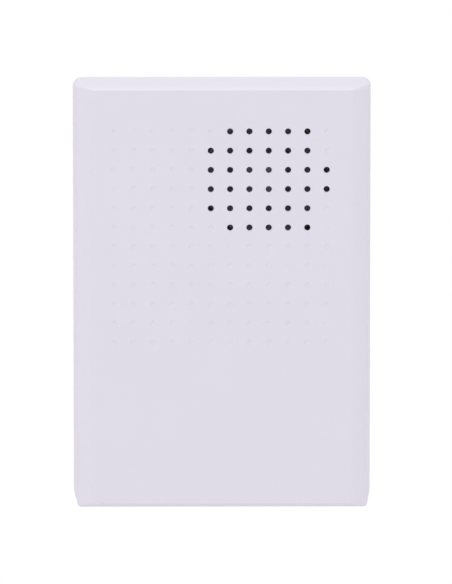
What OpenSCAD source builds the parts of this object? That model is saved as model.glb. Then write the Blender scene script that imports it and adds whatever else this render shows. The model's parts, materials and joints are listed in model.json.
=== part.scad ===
// Wired doorbell chime box: a clip-on cover with a loudspeaker grille over a wall plate that carries
// a small loudspeaker, a chime board and a two-way clamp terminal for the bell wires.
// Millimetres. Finished part: X to the right seen from the front, Z up, the wall is the plane Y = 0.
// The modules model it lying on its back: X right, Y up the wall, Z out from the wall.

/* [Case] */
// Width of the cover at its rim
case_w = 92; // [89:0.5:110]
// Height of the cover at its rim
case_h = 131; // [129:0.5:150]
// Depth from the wall to the front face
case_d = 28; // [27.5:0.1:34]
// Thickness of the cover's walls and front
wall = 2; // [1.5:0.1:2.2]
// Corner radius of the outline at the rim
corner_r = 2.6; // [2:0.1:6]
// Corner radius of the outline where the rounding of the front edges begins
front_r = 1.2; // [0.8:0.1:4]
// How far each side leans in between the rim and the front
side_draft = 1.4; // [1:0.1:2.6]
// How far the top and bottom lean in between the rim and the front
end_draft = 0.3; // [0.2:0.1:0.9]
// Width of the rounding along the left and right front edges
side_round = 5; // [3:0.1:6]
// Width of the rounding along the top and bottom front edges
end_round = 1.6; // [1:0.1:3.2]
// Depth of the rounding along all four front edges
round_depth = 3.6; // [2.5:0.1:4]
// Shape of that rounding: 1 is a quarter ellipse and 2 a straight bevel
edge_flat = 1.5; // [1:0.05:2]
// Gap between the cover's rim and the wall
rim_gap = 1.5; // [1:0.1:1.7]

/* [Grille] */
// Distance between hole centres
grille_pitch = 5.9; // [5:0.1:6.4]
// Holes and dimples along each side of the square field
grille_count = 12; // [10:1:12]
// Distance from the top of the case to the top row
grille_top = 14.4; // [10:0.1:20]
// How far the field's centre sits to the right of the case's centre
grille_shift = -0.6; // [-2:0.1:2]
// Diameter of the holes and dimples
hole_d = 1.9; // [1.4:0.1:2.4]
// Depth of the dimples
dimple_depth = 0.2; // [0.1:0.05:0.8]
// Radius round the loudspeaker's axis inside which the dimples are pierced
pierce_r = 20.2; // [14:0.1:20.2]

/* [Wall plate] */
// Thickness of the wall plate
base_t = 2.5; // [2:0.1:3]
// Clearance between the plate's sides and the cover
base_clear = 1; // [0.8:0.1:1.5]
// Height of the plate's rim above the wall
rim_h = 7; // [6.4:0.1:7.4]
// Thickness of the plate's rim
rim_t = 1.6; // [1.2:0.1:2]
// Distance between the two wall screws
screw_span = 60; // [56:0.5:62]
// Width of the screw slots and holes
screw_d = 4.5; // [4:0.1:5]
// Diameter of the hole that a screw's head passes through
head_d = 8.5; // [7.5:0.1:9]
// Height of the keyholes' head openings above the middle of the plate
keyhole_y = 30; // [26:0.5:33]
// Diameter of the cable entry
cable_d = 12; // [8:0.5:14]
// Distance of the cable entry to the left of the middle
cable_x = -24; // [-28:0.5:-22]
// Height of the cable entry above the middle of the plate
cable_y = 49; // [47:0.5:52]

/* [Hinge and catch] */
// Distance of the hinge axis from the wall and from the top of the case
hinge_in = 2.8; // [2.7:0.05:3]
// Radius of the hinge beads
bead_r = 1; // [0.9:0.05:1.1]
// Length of each hinge bead
bead_len = 10; // [6:0.5:14]
// Distance between the middles of the two hinge beads
bead_span = 52; // [46:1:60]
// Running clearance of the beads in their grooves
bead_clear = 0.06; // [0.03:0.01:0.1]
// Width of the catch tongue
tongue_w = 8; // [6:0.5:10]
// Thickness of the catch tongue
tongue_t = 1.2; // [1:0.1:1.4]
// Height of the nose's holding face above the wall
nose_z = 8.4; // [8.2:0.1:10]

/* [Loudspeaker] */
// Diameter of the loudspeaker's frame
speaker_d = 50; // [48:0.5:51]
// Distance of the loudspeaker's axis to the right of the middle
speaker_x = 12.6; // [8:0.1:14]
// Distance of the loudspeaker's axis below the top of the case
speaker_drop = 29.15; // [28.8:0.05:32]
// Thickness of the frame's sheet steel
basket_t = 0.8; // [0.6:0.1:1]
// Width of the frame's flat flange
flange_w = 4.6; // [4.2:0.1:5]
// Diameter of the magnet ring
magnet_d = 31; // [28:0.5:34]
// Thickness of the magnet ring
magnet_t = 5; // [4:0.1:5.4]
// Thickness of each pole plate
pole_plate_t = 2; // [1.5:0.1:2.2]
// Diameter of the pole
pole_d = 12; // [10:0.2:13]
// Radial gap on each side of the voice coil
coil_gap = 0.45; // [0.35:0.05:0.6]
// Thickness of the voice coil
coil_t = 0.4; // [0.3:0.05:0.5]
// Thickness of the foam gasket
gasket_t = 1.2; // [0.8:0.1:1.3]

/* [Board] */
// Width of the circuit board
board_w = 76; // [74:0.5:77]
// Height of the circuit board
board_h = 50; // [49:0.5:51]
// Thickness of the circuit board
board_t = 1.6; // [1.2:0.1:2]
// Height of the board's posts above the wall plate
standoff_h = 6; // [5:0.1:6.5]
// Distance of the board's lower edge above the plate's rim
board_rise = 9.5; // [9:0.1:10]
// Distance of the board's screws from its edges
board_inset = 4; // [3.6:0.1:5]

/* [Clamp terminal] */
// Distance between the two clamps
clamp_pitch = 5; // [4.8:0.1:6]
// Distance of the terminal to the left of the middle
terminal_x = -24; // [-25:0.5:-22]
// Depth of the terminal's housing
terminal_depth = 9; // [9:0.1:10]
// Outside width of a clamp cage
cage_w = 3.5; // [3.3:0.1:3.6]
// Outside height of a clamp cage
cage_h = 4.8; // [4.6:0.1:5]
// Travel of a clamp cage
cage_lift = 2; // [1.5:0.1:2.2]
// Radius of a terminal screw's shank
shank_r = 1.25; // [1:0.05:1.25]

/* [Hidden] */
$fn = 48;
sides = [-1, 1];
cut = 1;

// Finish colours
shell_white = "#e3dfea";
plate_grey = "#d9d8d4";
steel = "#b9bcc0";
dark_iron = "#3a3a3d";
brass = "#c9a44c";
copper = "#b5652d";
paper_grey = "#918f93";
cap_grey = "#c0bec2";
foam = "#46464a";
board_green = "#2f6b3c";
phenolic = "#a9793f";
terminal_green = "#3f8f57";
epoxy = "#222225";

// Cover
corner_steps = 6;
edge_steps = 10;
dome_steps = 8;
rim_land = 1;
ceiling_z = case_d - wall;
cavity_chamfer = 3;
end_chamfer = 0.8;
slice_t = 0.01;
tip_r = 0.2;
flat_x = case_w / 2 - side_draft - side_round;
flat_y = case_h / 2 - end_draft - end_round;
inner_h = case_h - 2 * wall;

// Hinge: the plate's top edge stays under the axis so that the cover's rim can turn past it
hinge_y = case_h / 2 - hinge_in;
hinge_z = hinge_in;
edge_under_axis = 0.4;
finger_over_axis = 0.45;
finger_t = 1.6;
groove_r = bead_r + bead_clear;

// Wall plate
base_w = case_w - 2 * (wall + base_clear);
base_h = 2 * (hinge_y - edge_under_axis);
base_corner = 2.5;
keyhole_neck = 7;
fixing_in = 5;
fixing_y = -base_h / 2 + rim_t + fixing_in;

// Catch
tongue_y = -base_h / 2;
nose_h = 2.5;
tongue_top_z = nose_z + nose_h;
nose_inset = 0.7;
nose_tip_y = -case_h / 2 + nose_inset;
nose_land = 0.9;
window_clear = 0.3;
tongue_gap = 1.5;

// Loudspeaker: the flange hangs under the cover's rib and the motor stands over the wall plate
speaker_r = speaker_d / 2;
speaker_y = case_h / 2 - speaker_drop;
rib_h = 1.5;
rib_gap = 0.3;
lip_t = 0.3;
gasket_top_z = ceiling_z - rib_h - rib_gap;
flange_z = gasket_top_z - gasket_t - lip_t;
flange_under_z = flange_z - basket_t;
gasket_inset = 1.7;
gasket_w = 2;
gasket_out = speaker_r - gasket_inset;
gasket_in = gasket_out - gasket_w;
flange_in = speaker_r - flange_w;
basket_floor_r = 13.2;
yoke_gap = 1.5;
yoke_inset = 1.5;
yoke_z = base_t + yoke_gap;
magnet_z = yoke_z + pole_plate_t;
top_plate_z = magnet_z + magnet_t;
basket_floor_z = top_plate_z + pole_plate_t + basket_t;
pole_r = pole_d / 2;
coil_in = pole_r + coil_gap;
coil_out = coil_in + coil_t;
coil_under = 1;
plate_bore = coil_out + coil_gap;
magnet_bore = plate_bore + 2 * coil_gap;
bond_gap = 0.02;
cone_t = 0.4;
neck_rise = 2.2;
cone_neck_z = basket_floor_z + neck_rise;
roll_r = 1.3;
roll_t = 0.35;
roll_over = 0.6;
roll_mid = flange_in + roll_over - roll_r;
cone_lip = roll_mid - roll_r + roll_t;
cone_lip_w = 1.25;
cone_edge = cone_lip - cone_lip_w;
cap_over = 0.75;
cap_r = coil_out + cap_over;
cap_rise = 3;
cap_t = 0.35;
spider_inset = 0.8;
spider_out = basket_floor_r - spider_inset;
spider_t = 0.3;
spider_glue = 1.4;
spider_crest = 0.8;
basket_window = 11;
window_edge = 1.2;
// Four posts hold the frame's edge under washers
post_r = 4.5;
spigot_gap = 0.2;
spigot_r = 3.3;
post_out = speaker_r + spigot_gap + spigot_r;
post_points = [
    for (a = [45 : 90 : 315]) [speaker_x + post_out * cos(a), speaker_y + post_out * sin(a)]
];
washer_r = 5;
washer_t = 0.7;
// Solder tags under the flange
strip_w = 14;
strip_h = 3.5;
strip_t = 1;
tag_span = 8;
tag_w = 1.8;
tag_t = 0.4;
tag_len = 6.5;
tag_reach = 3.5;
tag_tip_y = speaker_y - speaker_r - tag_reach;
tag_z = flange_under_z - strip_t - tag_t / 2;

// Self-tapping screws for the loudspeaker and the board
tap_r = 1.4;
pilot_r = 1.45;
pilot_depth = 7;
tap_len = 6;
pan_r = 2.6;
pan_h = 1.3;
recess_w = 0.6;
recess_l = 3;
recess_depth = 0.6;

// Board and what stands on it
board_bottom = -base_h / 2 + rim_t + board_rise;
board_top = board_bottom + board_h;
board_back_z = base_t + standoff_h;
board_face = board_back_z + board_t;
standoff_r = 3;
board_hole_r = 1.6;
board_points = [
    for (sx = sides, y = [board_bottom + board_inset, board_top - board_inset])
        [sx * (board_w / 2 - board_inset), y]
];
lead_r = 0.3;
bend_r = 0.8;
lead_lift = 0.4;
// Places on the board: right and down from its upper left corner
axial_pitch = 4.6;
resistor_from = [66, 33];
divider_from = [12, 36];
diode_from = [12, 15];
reservoir_at = [30, 19];
small_can_at = [[43, 24], [29, 35]];
ceramic_at = [[25, 43], [36, 44], [52, 19]];
transistor_at = [[60, 23], [68, 23]];
chip_at = [47, 35];
trimmer_at = [66, 12];
plug_at = [44, 12];
function on_board(at) = [at.x - board_w / 2, board_top - at.y];
function axial_column(from, count) = [for (i = [0 : count - 1]) on_board(from + [0, axial_pitch * i])];
// Axial parts: body length and diameter, and the distance between the bends of their leads
resistor_len = 6.3;
resistor_d = 2.4;
diode_len = 5.2;
diode_d = 2.7;
axial_span = 10;
resistor_points = concat(axial_column(resistor_from, 3), axial_column(divider_from, 2));
diode_points = axial_column(diode_from, 4);
// Electrolytic capacitors
reservoir_d = 10;
reservoir_h = 12.5;
small_can_d = [6.3, 5];
small_can_h = [8, 7.5];
can_groove = 0.35;
can_groove_w = 1;
can_groove_z = 1.5;
// Ceramic discs
ceramic_d = 4.8;
ceramic_t = 1.8;
ceramic_points = [for (at = ceramic_at) on_board(at)];
ceramic_lift = 1.2;
ceramic_leg_x = 1.25;
ceramic_leg_in = 0.6;
// Transistors
transistor_points = [for (at = transistor_at) on_board(at)];
transistor_r = 2.3;
transistor_flat = 1.4;
transistor_h = 4.6;
transistor_lift = 3;
leg_w = 0.45;
leg_pitch = 1.27;
// Chip in an eight-pin package
chip_place = on_board(chip_at);
chip_size = [9.6, 6.4, 3.3];
chip_lift = 0.6;
pin_pitch = 2.54;
pin_w = 0.9;
pin_t = 0.25;
pin_out = 0.75;
pin_drop = 1.6;
chip_notch_r = 0.8;
// Volume trimmer
trimmer_place = on_board(trimmer_at);
trimmer_w = 6.6;
trimmer_h = 3.4;
rotor_r = 2;
rotor_clear = 0.05;
rotor_seat = 1.6;
rotor_h = 2;
// Plug for the loudspeaker's leads
plug_place = on_board(plug_at);
plug_size = [7.5, 6, 6.5];
plug_pitch = 2.5;
wire_r = 0.7;
wire_rise = 4;
wire_z = board_face + wire_rise;

// Clamp terminal
terminal_h = 10.5;
terminal_top = board_face + terminal_h;
terminal_back = board_top - terminal_depth;
housing_wall = 1;
housing_side = 0.1;
cage_wall = 0.6;
cage_bore_clear = 0.1;
cage_inner_w = 2 * (shank_r + cage_bore_clear);
cage_len = 4.6;
cage_in = 4.3;
cage_y = terminal_back + cage_in;
cage_rise = 1.1;
cage_z = board_face + cage_rise;
cage_side_clear = 0.25;
chamber_room = 0.6;
chamber_top = cage_z + cage_h + cage_lift + chamber_room;
bar_w = 1.7;
bar_t = 0.6;
bar_under = 0.4;
bar_z = cage_z + cage_h - cage_wall - bar_under - bar_t;
bar_leg = 0.7;
bar_leg_clear = 0.1;
bar_len = 6;
shank_clear = 0.05;
shank_over = 0.35;
shank_z = bar_z + bar_t + shank_over;
seat_t = 0.6;
screw_seat_z = chamber_top + seat_t;
screw_head_r = 1.85;
screw_head_h = 1.2;
screw_room = 0.15;
neck_room = 0.25;
mouth_w = 2.8;

// Points on an arc, and a rectangle with rounded corners
function arc(cx, cy, r, from, to, steps) = [
    for (i = [0 : steps])
        let (a = from + (to - from) * i / steps)
        [cx + r * cos(a), cy + r * sin(a)]
];
function rounded_outline(w, h, r) = [
    for (q = [0 : 3])
        let (sx = q == 0 || q == 3 ? 1 : -1, sy = q < 2 ? 1 : -1)
        each arc(sx * (w / 2 - r), sy * (h / 2 - r), r, 90 * q, 90 * q + 90, corner_steps)
];

// A piece modelled on its back is stood up against the wall
module upright() {
    rotate([90, 0, 0]) children();
}
module at_speaker() {
    translate([speaker_x, speaker_y, 0]) children();
}
module along_x(x, y, z, r, length) {
    translate([x, y, z]) rotate([0, 90, 0]) cylinder(r = r, h = length, center = true);
}
module tube(outer, inner, from, to) {
    difference() {
        translate([0, 0, from]) cylinder(r = outer, h = to - from);
        translate([0, 0, from - cut]) cylinder(r = inner, h = to - from + 2 * cut);
    }
}

// Cover
module slice(w, h, r, z, thick) {
    translate([0, 0, z]) linear_extrude(thick) polygon(rounded_outline(w, h, r));
}
module cover_form() {
    hull() {
        slice(case_w, case_h, corner_r, rim_gap, rim_land);
        for (i = [0 : edge_steps]) {
            spread = pow(cos(90 * i / edge_steps), edge_flat);
            rise = pow(sin(90 * i / edge_steps), edge_flat);
            slice(
                2 * (flat_x + side_round * spread), 2 * (flat_y + end_round * spread),
                max(front_r * spread, tip_r), case_d - round_depth * (1 - rise) - slice_t, slice_t
            );
        }
    }
}
function inner_half_w(z) =
    case_w / 2 - wall - side_draft * (z - rim_gap) / (case_d - round_depth - rim_gap);
function mirrored(half) = concat(half, [for (i = [len(half) - 1 : -1 : 0]) [-half[i].x, half[i].y]]);
module cover_cavity() {
    shoulder_z = ceiling_z - cavity_chamfer;
    shoulder_w = inner_half_w(shoulder_z);
    half = [
        [inner_half_w(0), 0], [shoulder_w, shoulder_z], [shoulder_w - cavity_chamfer, ceiling_z]
    ];
    end = [
        [inner_h / 2, 0], [inner_h / 2, ceiling_z - end_chamfer], [inner_h / 2 - end_chamfer, ceiling_z]
    ];
    intersection() {
        rotate([90, 0, 0]) linear_extrude(height = inner_h, center = true) polygon(mirrored(half));
        rotate([90, 0, 90]) linear_extrude(height = case_w, center = true) polygon(mirrored(end));
    }
}
function grille_point(column, row) = [
    grille_shift + (column - (grille_count - 1) / 2) * grille_pitch,
    case_h / 2 - grille_top - row * grille_pitch
];
module grille() {
    for (column = [0 : grille_count - 1], row = [0 : grille_count - 1]) {
        place = grille_point(column, row);
        pierced = norm(place - [speaker_x, speaker_y]) <= pierce_r;
        depth = pierced ? wall + cut : dimple_depth;
        translate([place.x, place.y, case_d - depth]) cylinder(d = hole_d, h = depth + cut);
    }
}
module front_cover() {
    color(shell_white) upright() difference() {
        union() {
            difference() {
                cover_form();
                cover_cavity();
            }
            at_speaker() tube(gasket_out, gasket_in, gasket_top_z + rib_gap, ceiling_z + wall / 2);
            for (sx = sides) along_x(sx * bead_span / 2, hinge_y, hinge_z, bead_r, bead_len);
        }
        grille();
        translate([0, -case_h / 2 + wall / 2, (nose_z + tongue_top_z) / 2])
            cube([
                tongue_w + 2 * window_clear, wall + 2 * cut, tongue_top_z - nose_z + 2 * window_clear
            ], center = true);
    }
}

// Wall plate
module keyhole(x) {
    neck = concat(
        [[-screw_d / 2, 0], [screw_d / 2, 0]],
        arc(0, keyhole_neck, screw_d / 2, 0, 180, 2 * corner_steps)
    );
    translate([x, keyhole_y, -cut]) {
        cylinder(d = head_d, h = base_t + 2 * cut);
        linear_extrude(base_t + 2 * cut) polygon(neck);
    }
}
module plate_rim() {
    linear_extrude(rim_h) difference() {
        polygon(rounded_outline(base_w, base_h, base_corner));
        polygon(rounded_outline(base_w - 2 * rim_t, base_h - 2 * rim_t, base_corner - rim_t / 2));
    }
}
module hinge_finger(x) {
    translate([x - bead_len / 2, base_h / 2 - rim_t, hinge_z + groove_r])
        cube([bead_len, rim_t + edge_under_axis + finger_over_axis, finger_t]);
}
module pilot_hole(place, top_z) {
    translate([place.x, place.y, top_z - pilot_depth]) cylinder(r = pilot_r, h = pilot_depth + cut);
}
module back_plate() {
    color(plate_grey) upright() difference() {
        union() {
            linear_extrude(base_t) polygon(rounded_outline(base_w, base_h, base_corner));
            plate_rim();
            for (sx = sides) hinge_finger(sx * bead_span / 2);
            for (p = post_points) translate([p.x, p.y, 0]) {
                cylinder(r = post_r, h = flange_under_z);
                cylinder(r = spigot_r, h = flange_z);
            }
            for (p = board_points) translate([p.x, p.y, 0]) cylinder(r = standoff_r, h = board_back_z);
        }
        for (sx = sides) {
            along_x(sx * bead_span / 2, hinge_y, hinge_z, groove_r, bead_len + 2 * window_clear);
            keyhole(sx * screw_span / 2);
            translate([sx * screw_span / 2, fixing_y, -cut]) cylinder(d = screw_d, h = base_t + 2 * cut);
        }
        translate([cable_x, cable_y, -cut]) cylinder(d = cable_d, h = base_t + 2 * cut);
        for (p = post_points) pilot_hole(p, flange_z);
        for (p = board_points) pilot_hole(p, board_back_z);
        translate([-tongue_w / 2 - tongue_gap, -base_h / 2 - cut, base_t])
            cube([tongue_w + 2 * tongue_gap, rim_t + 2 * cut, rim_h]);
    }
}
module catch_tongue() {
    inside_y = tongue_y + tongue_t;
    profile = [
        [inside_y, base_t], [inside_y, tongue_top_z], [tongue_y, tongue_top_z],
        [nose_tip_y, nose_z + nose_land], [nose_tip_y, nose_z], [tongue_y, nose_z], [tongue_y, base_t]
    ];
    color(plate_grey) upright() rotate([90, 0, 90])
        linear_extrude(height = tongue_w, center = true) polygon(profile);
}

// Loudspeaker
module turned(points) {
    upright() at_speaker() rotate_extrude() polygon(points);
}
module speaker_basket() {
    floor_under = basket_floor_z - basket_t;
    window_z = (basket_floor_z + flange_under_z) / 2;
    window_h = flange_under_z - basket_floor_z - 2 * window_edge;
    color(steel) upright() at_speaker() difference() {
        rotate_extrude() polygon([
            [speaker_r, flange_under_z], [speaker_r, flange_z], [flange_in, flange_z],
            [basket_floor_r, basket_floor_z], [plate_bore, basket_floor_z], [plate_bore, floor_under],
            [basket_floor_r + basket_t / 2, floor_under], [flange_in + basket_t / 2, flange_under_z]
        ]);
        for (a = [0 : 90 : 270]) rotate(a) translate([speaker_r / 2 + basket_floor_r / 2, 0, window_z])
            cube([speaker_r - basket_floor_r + 4 * cut, basket_window, window_h], center = true);
    }
}
module speaker_yoke() {
    yoke_r = magnet_d / 2 - yoke_inset;
    color(steel) turned([
        [0, yoke_z], [yoke_r, yoke_z], [yoke_r, magnet_z], [pole_r, magnet_z],
        [pole_r, basket_floor_z - basket_t], [0, basket_floor_z - basket_t]
    ]);
}
module speaker_magnet() {
    color(dark_iron) upright() at_speaker()
        tube(magnet_d / 2, magnet_bore, magnet_z, top_plate_z);
}
module speaker_top_plate() {
    color(steel) upright() at_speaker()
        tube(basket_floor_r, plate_bore, top_plate_z, basket_floor_z - basket_t);
}
module voice_coil() {
    color(copper) upright() at_speaker()
        tube(coil_out, coil_in, top_plate_z - coil_under, cone_neck_z + cone_t);
}
module speaker_spider() {
    inner = coil_out + bond_gap;
    glue_r = spider_out - spider_glue;
    folds = 6;
    wave = (glue_r - inner) / folds;
    low = [
        [spider_out, basket_floor_z], [glue_r, basket_floor_z],
        for (i = [1 : folds])
            [glue_r - wave * i, basket_floor_z + (i % 2 == 1 ? spider_crest : spider_crest / 3)]
    ];
    color(phenolic) turned(concat(low, [for (i = [folds + 1 : -1 : 0]) low[i] + [0, spider_t]]));
}
module speaker_cone() {
    inner = coil_out + bond_gap;
    color(paper_grey) turned([
        [inner, cone_neck_z], [cone_edge, flange_z - cone_t], [cone_lip, flange_z - cone_t],
        [cone_lip, flange_z], [cone_edge, flange_z], [inner, cone_neck_z + cone_t]
    ]);
}
module speaker_surround() {
    color(dark_iron) upright() at_speaker() {
        rotate_extrude() difference() {
            translate([roll_mid, flange_z]) circle(r = roll_r);
            translate([roll_mid, flange_z]) circle(r = roll_r - roll_t);
            translate([roll_mid - 2 * roll_r, flange_z - 2 * roll_r]) square([4 * roll_r, 2 * roll_r]);
        }
        tube(gasket_out, roll_mid + roll_r - roll_t, flange_z, flange_z + lip_t);
    }
}
module dust_cap() {
    sphere_r = (cap_r * cap_r + cap_rise * cap_rise) / (2 * cap_rise);
    base_z = cone_neck_z + cone_t
        + (cap_r - coil_out) * (flange_z - cone_t - cone_neck_z) / (cone_edge - coil_out);
    centre_z = base_z + cap_rise - sphere_r;
    edge_a = asin((base_z - centre_z) / sphere_r);
    inner_r = sphere_r - cap_t;
    inner_a = asin((base_z - centre_z) / inner_r);
    color(cap_grey) turned(concat(
        arc(0, centre_z, sphere_r, edge_a, 90, dome_steps),
        arc(0, centre_z, inner_r, 90, inner_a, dome_steps)
    ));
}
module speaker_gasket() {
    color(foam) upright() at_speaker() tube(gasket_out, gasket_in, flange_z + lip_t, gasket_top_z);
}
module speaker_tag_strip() {
    color(phenolic) upright()
        translate([speaker_x - strip_w / 2, speaker_y - speaker_r, flange_under_z - strip_t])
            cube([strip_w, strip_h, strip_t]);
}
module speaker_tags() {
    color(brass) upright() for (sx = sides)
        translate([speaker_x + sx * tag_span / 2 - tag_w / 2, tag_tip_y, tag_z - tag_t / 2])
            cube([tag_w, tag_len, tag_t]);
}
module speaker_washers() {
    color(steel) upright() for (p = post_points) translate([p.x, p.y, 0])
        tube(washer_r, pilot_r + 0.1, flange_z, flange_z + washer_t);
}
module pan_screw(place, seat_z) {
    translate([place.x, place.y, 0]) difference() {
        union() {
            translate([0, 0, seat_z]) cylinder(r = pan_r, h = pan_h);
            translate([0, 0, seat_z - tap_len]) cylinder(r = tap_r, h = tap_len);
        }
        for (a = [0, 90]) rotate(a) translate([0, 0, seat_z + pan_h])
            cube([recess_l, recess_w, 2 * recess_depth], center = true);
    }
}
module speaker_screws() {
    color(steel) upright() for (p = post_points) pan_screw(p, flange_z + washer_t);
}

// Board
module circuit_board() {
    color(board_green) upright() difference() {
        translate([-board_w / 2, board_bottom, board_back_z]) cube([board_w, board_h, board_t]);
        for (p = board_points) translate([p.x, p.y, board_back_z - cut])
            cylinder(r = board_hole_r, h = board_t + 2 * cut);
        for (sx = sides) translate([clamp_x(sx), terminal_back + housing_wall, board_back_z])
            cube([bar_w + 2 * window_clear, 2 * bar_leg + 2 * window_clear, 4 * board_t], center = true);
    }
}
module board_screws() {
    color(steel) upright() for (p = board_points) pan_screw(p, board_face);
}
module melody_chip() {
    color(epoxy) upright() translate([chip_place.x, chip_place.y, board_face + chip_lift]) difference() {
        translate([-chip_size.x / 2, -chip_size.y / 2, 0]) cube(chip_size);
        translate([-chip_size.x / 2, 0, chip_size.z / 2]) cylinder(r = chip_notch_r, h = chip_size.z);
    }
}
module chip_pins() {
    shoulder_z = board_face + pin_drop;
    color(steel) upright() for (i = [0 : 3], sy = sides)
        translate([chip_place.x + (i - 1.5) * pin_pitch - pin_w / 2, chip_place.y, 0]) {
            reach = chip_size.y / 2;
            translate([0, sy > 0 ? reach : -reach - pin_out, shoulder_z]) cube([pin_w, pin_out, pin_t]);
            translate([0, sy > 0 ? reach + pin_out - pin_t : -reach - pin_out, board_face])
                cube([pin_w, pin_t, pin_drop]);
        }
}
module power_transistors() {
    color(epoxy) upright() for (p = transistor_points)
        translate([p.x, p.y, board_face + transistor_lift]) difference() {
            cylinder(r = transistor_r, h = transistor_h);
            translate([-2 * transistor_r, -transistor_flat - 2 * transistor_r, -cut])
                cube([4 * transistor_r, 2 * transistor_r, transistor_h + 2 * cut]);
        }
}
module transistor_legs() {
    color(steel) upright() for (p = transistor_points, i = [-1 : 1])
        translate([p.x + i * leg_pitch - leg_w / 2, p.y - leg_w / 2, board_face])
            cube([leg_w, leg_w, transistor_lift]);
}
module electrolytic(at, d, h) {
    r = d / 2;
    place = on_board(at);
    translate([place.x, place.y, board_face]) rotate_extrude() polygon([
        [0, 0], [r - can_groove, 0], [r, can_groove], [r, can_groove_z - can_groove_w / 2],
        [r - can_groove, can_groove_z], [r, can_groove_z + can_groove_w / 2],
        [r, h - can_groove], [r - can_groove, h], [0, h]
    ]);
}
module reservoir_capacitor() {
    color("#20242c") upright() electrolytic(reservoir_at, reservoir_d, reservoir_h);
}
module small_capacitors() {
    color("#20242c") upright() for (i = [0 : len(small_can_at) - 1])
        electrolytic(small_can_at[i], small_can_d[i], small_can_h[i]);
}
module ceramic_capacitors() {
    r = ceramic_d / 2;
    color("#c98a3a") upright() for (p = ceramic_points)
        translate([p.x, p.y, board_face + ceramic_lift + r]) rotate([90, 0, 0])
            cylinder(r = r, h = ceramic_t, center = true);
}
module axial_bodies(places, length, d) {
    for (p = places) along_x(p.x, p.y, board_face + lead_lift + d / 2, d / 2, length);
}
module resistors() {
    color("#c9b08a") upright() axial_bodies(resistor_points, resistor_len, resistor_d);
}
module rectifier_diodes() {
    color(epoxy) upright() axial_bodies(diode_points, diode_len, diode_d);
}
// One bent leg of an axial part: out of the body's end, round a bend and down to the board
module bent_leg(body_length, axis_z) {
    reach = axial_span / 2;
    straight = reach - bend_r - body_length / 2;
    translate([body_length / 2, 0, axis_z]) rotate([0, 90, 0]) cylinder(r = lead_r, h = straight);
    translate([reach - bend_r, 0, axis_z - bend_r]) rotate([90, 0, 0])
        rotate_extrude(angle = 90) translate([bend_r, 0]) circle(r = lead_r);
    translate([reach, 0, 0]) cylinder(r = lead_r, h = axis_z - bend_r);
}
module axial_legs(places, length, d) {
    for (p = places, turn = [0, 180]) translate([p.x, p.y, board_face]) rotate(turn)
        bent_leg(length, lead_lift + d / 2);
}
module component_leads() {
    color(steel) upright() {
        axial_legs(resistor_points, resistor_len, resistor_d);
        axial_legs(diode_points, diode_len, diode_d);
        for (p = ceramic_points, sx = sides) translate([p.x + sx * ceramic_leg_x, p.y, board_face])
            cylinder(r = lead_r, h = ceramic_lift + ceramic_leg_in);
    }
}
module volume_trimmer() {
    color("#2c5fa8") upright() translate([trimmer_place.x, trimmer_place.y, board_face]) difference() {
        translate([-trimmer_w / 2, -trimmer_w / 2, 0]) cube([trimmer_w, trimmer_w, trimmer_h]);
        translate([0, 0, rotor_seat]) cylinder(r = rotor_r + rotor_clear, h = trimmer_h);
    }
}
module volume_rotor() {
    color("#e8e6de") upright() translate([trimmer_place.x, trimmer_place.y, board_face + rotor_seat])
        difference() {
            translate([0, 0, rotor_clear]) cylinder(r = rotor_r, h = rotor_h);
            translate([0, 0, rotor_h]) cube([2 * rotor_r + cut, recess_w, 2 * recess_depth], center = true);
        }
}

// Clamp terminal
function clamp_x(side) = terminal_x + side * clamp_pitch / 2;
module terminal_housing() {
    chamber_w = cage_w + 2 * cage_side_clear;
    chamber_y = terminal_back + housing_wall;
    color(terminal_green) upright() difference() {
        translate([terminal_x - clamp_pitch - housing_side, terminal_back, board_face])
            cube([2 * (clamp_pitch + housing_side), terminal_depth, terminal_h]);
        for (sx = sides) translate([clamp_x(sx), 0, 0]) {
            translate([-chamber_w / 2, chamber_y, board_face - cut])
                cube([chamber_w, terminal_depth - 2 * housing_wall, chamber_top - board_face + cut]);
            translate([-mouth_w / 2, board_top - 2 * housing_wall, cage_z + cage_wall])
                cube([mouth_w, 3 * housing_wall, bar_z - cage_z - cage_wall]);
            translate([0, cage_y, board_face]) cylinder(r = shank_r + neck_room, h = terminal_top);
            translate([0, cage_y, screw_seat_z]) cylinder(r = screw_head_r + screw_room, h = terminal_top);
        }
    }
}
module terminal_contacts() {
    leg_y = terminal_back + housing_wall + bar_leg_clear;
    color(brass) upright() for (sx = sides) translate([clamp_x(sx) - bar_w / 2, leg_y, 0]) {
        translate([0, 0, bar_z]) cube([bar_w, bar_len, bar_t]);
        translate([0, 0, board_back_z - cut]) cube([bar_w, bar_leg, bar_z - board_back_z + cut]);
    }
}
module terminal_screw(side) {
    color(steel) upright() translate([clamp_x(side), cage_y, 0]) difference() {
        union() {
            translate([0, 0, shank_z]) cylinder(r = shank_r, h = screw_seat_z - shank_z);
            translate([0, 0, screw_seat_z]) cylinder(r = screw_head_r, h = screw_head_h);
        }
        translate([0, 0, screw_seat_z + screw_head_h])
            cube([2 * screw_head_r + cut, recess_w, 2 * recess_depth], center = true);
    }
}
module clamp_cage(side) {
    color(brass) upright() translate([clamp_x(side), cage_y, cage_z]) difference() {
        translate([-cage_w / 2, -cage_len / 2, 0]) cube([cage_w, cage_len, cage_h]);
        translate([-cage_inner_w / 2, -cage_len, cage_wall])
            cube([cage_inner_w, 2 * cage_len, cage_h - 2 * cage_wall]);
        translate([0, 0, cage_h / 2]) cylinder(r = shank_r + shank_clear, h = cage_h);
    }
}
module terminal_screw_left() { terminal_screw(-1); }
module terminal_screw_right() { terminal_screw(1); }
module clamp_cage_left() { clamp_cage(-1); }
module clamp_cage_right() { clamp_cage(1); }

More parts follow.
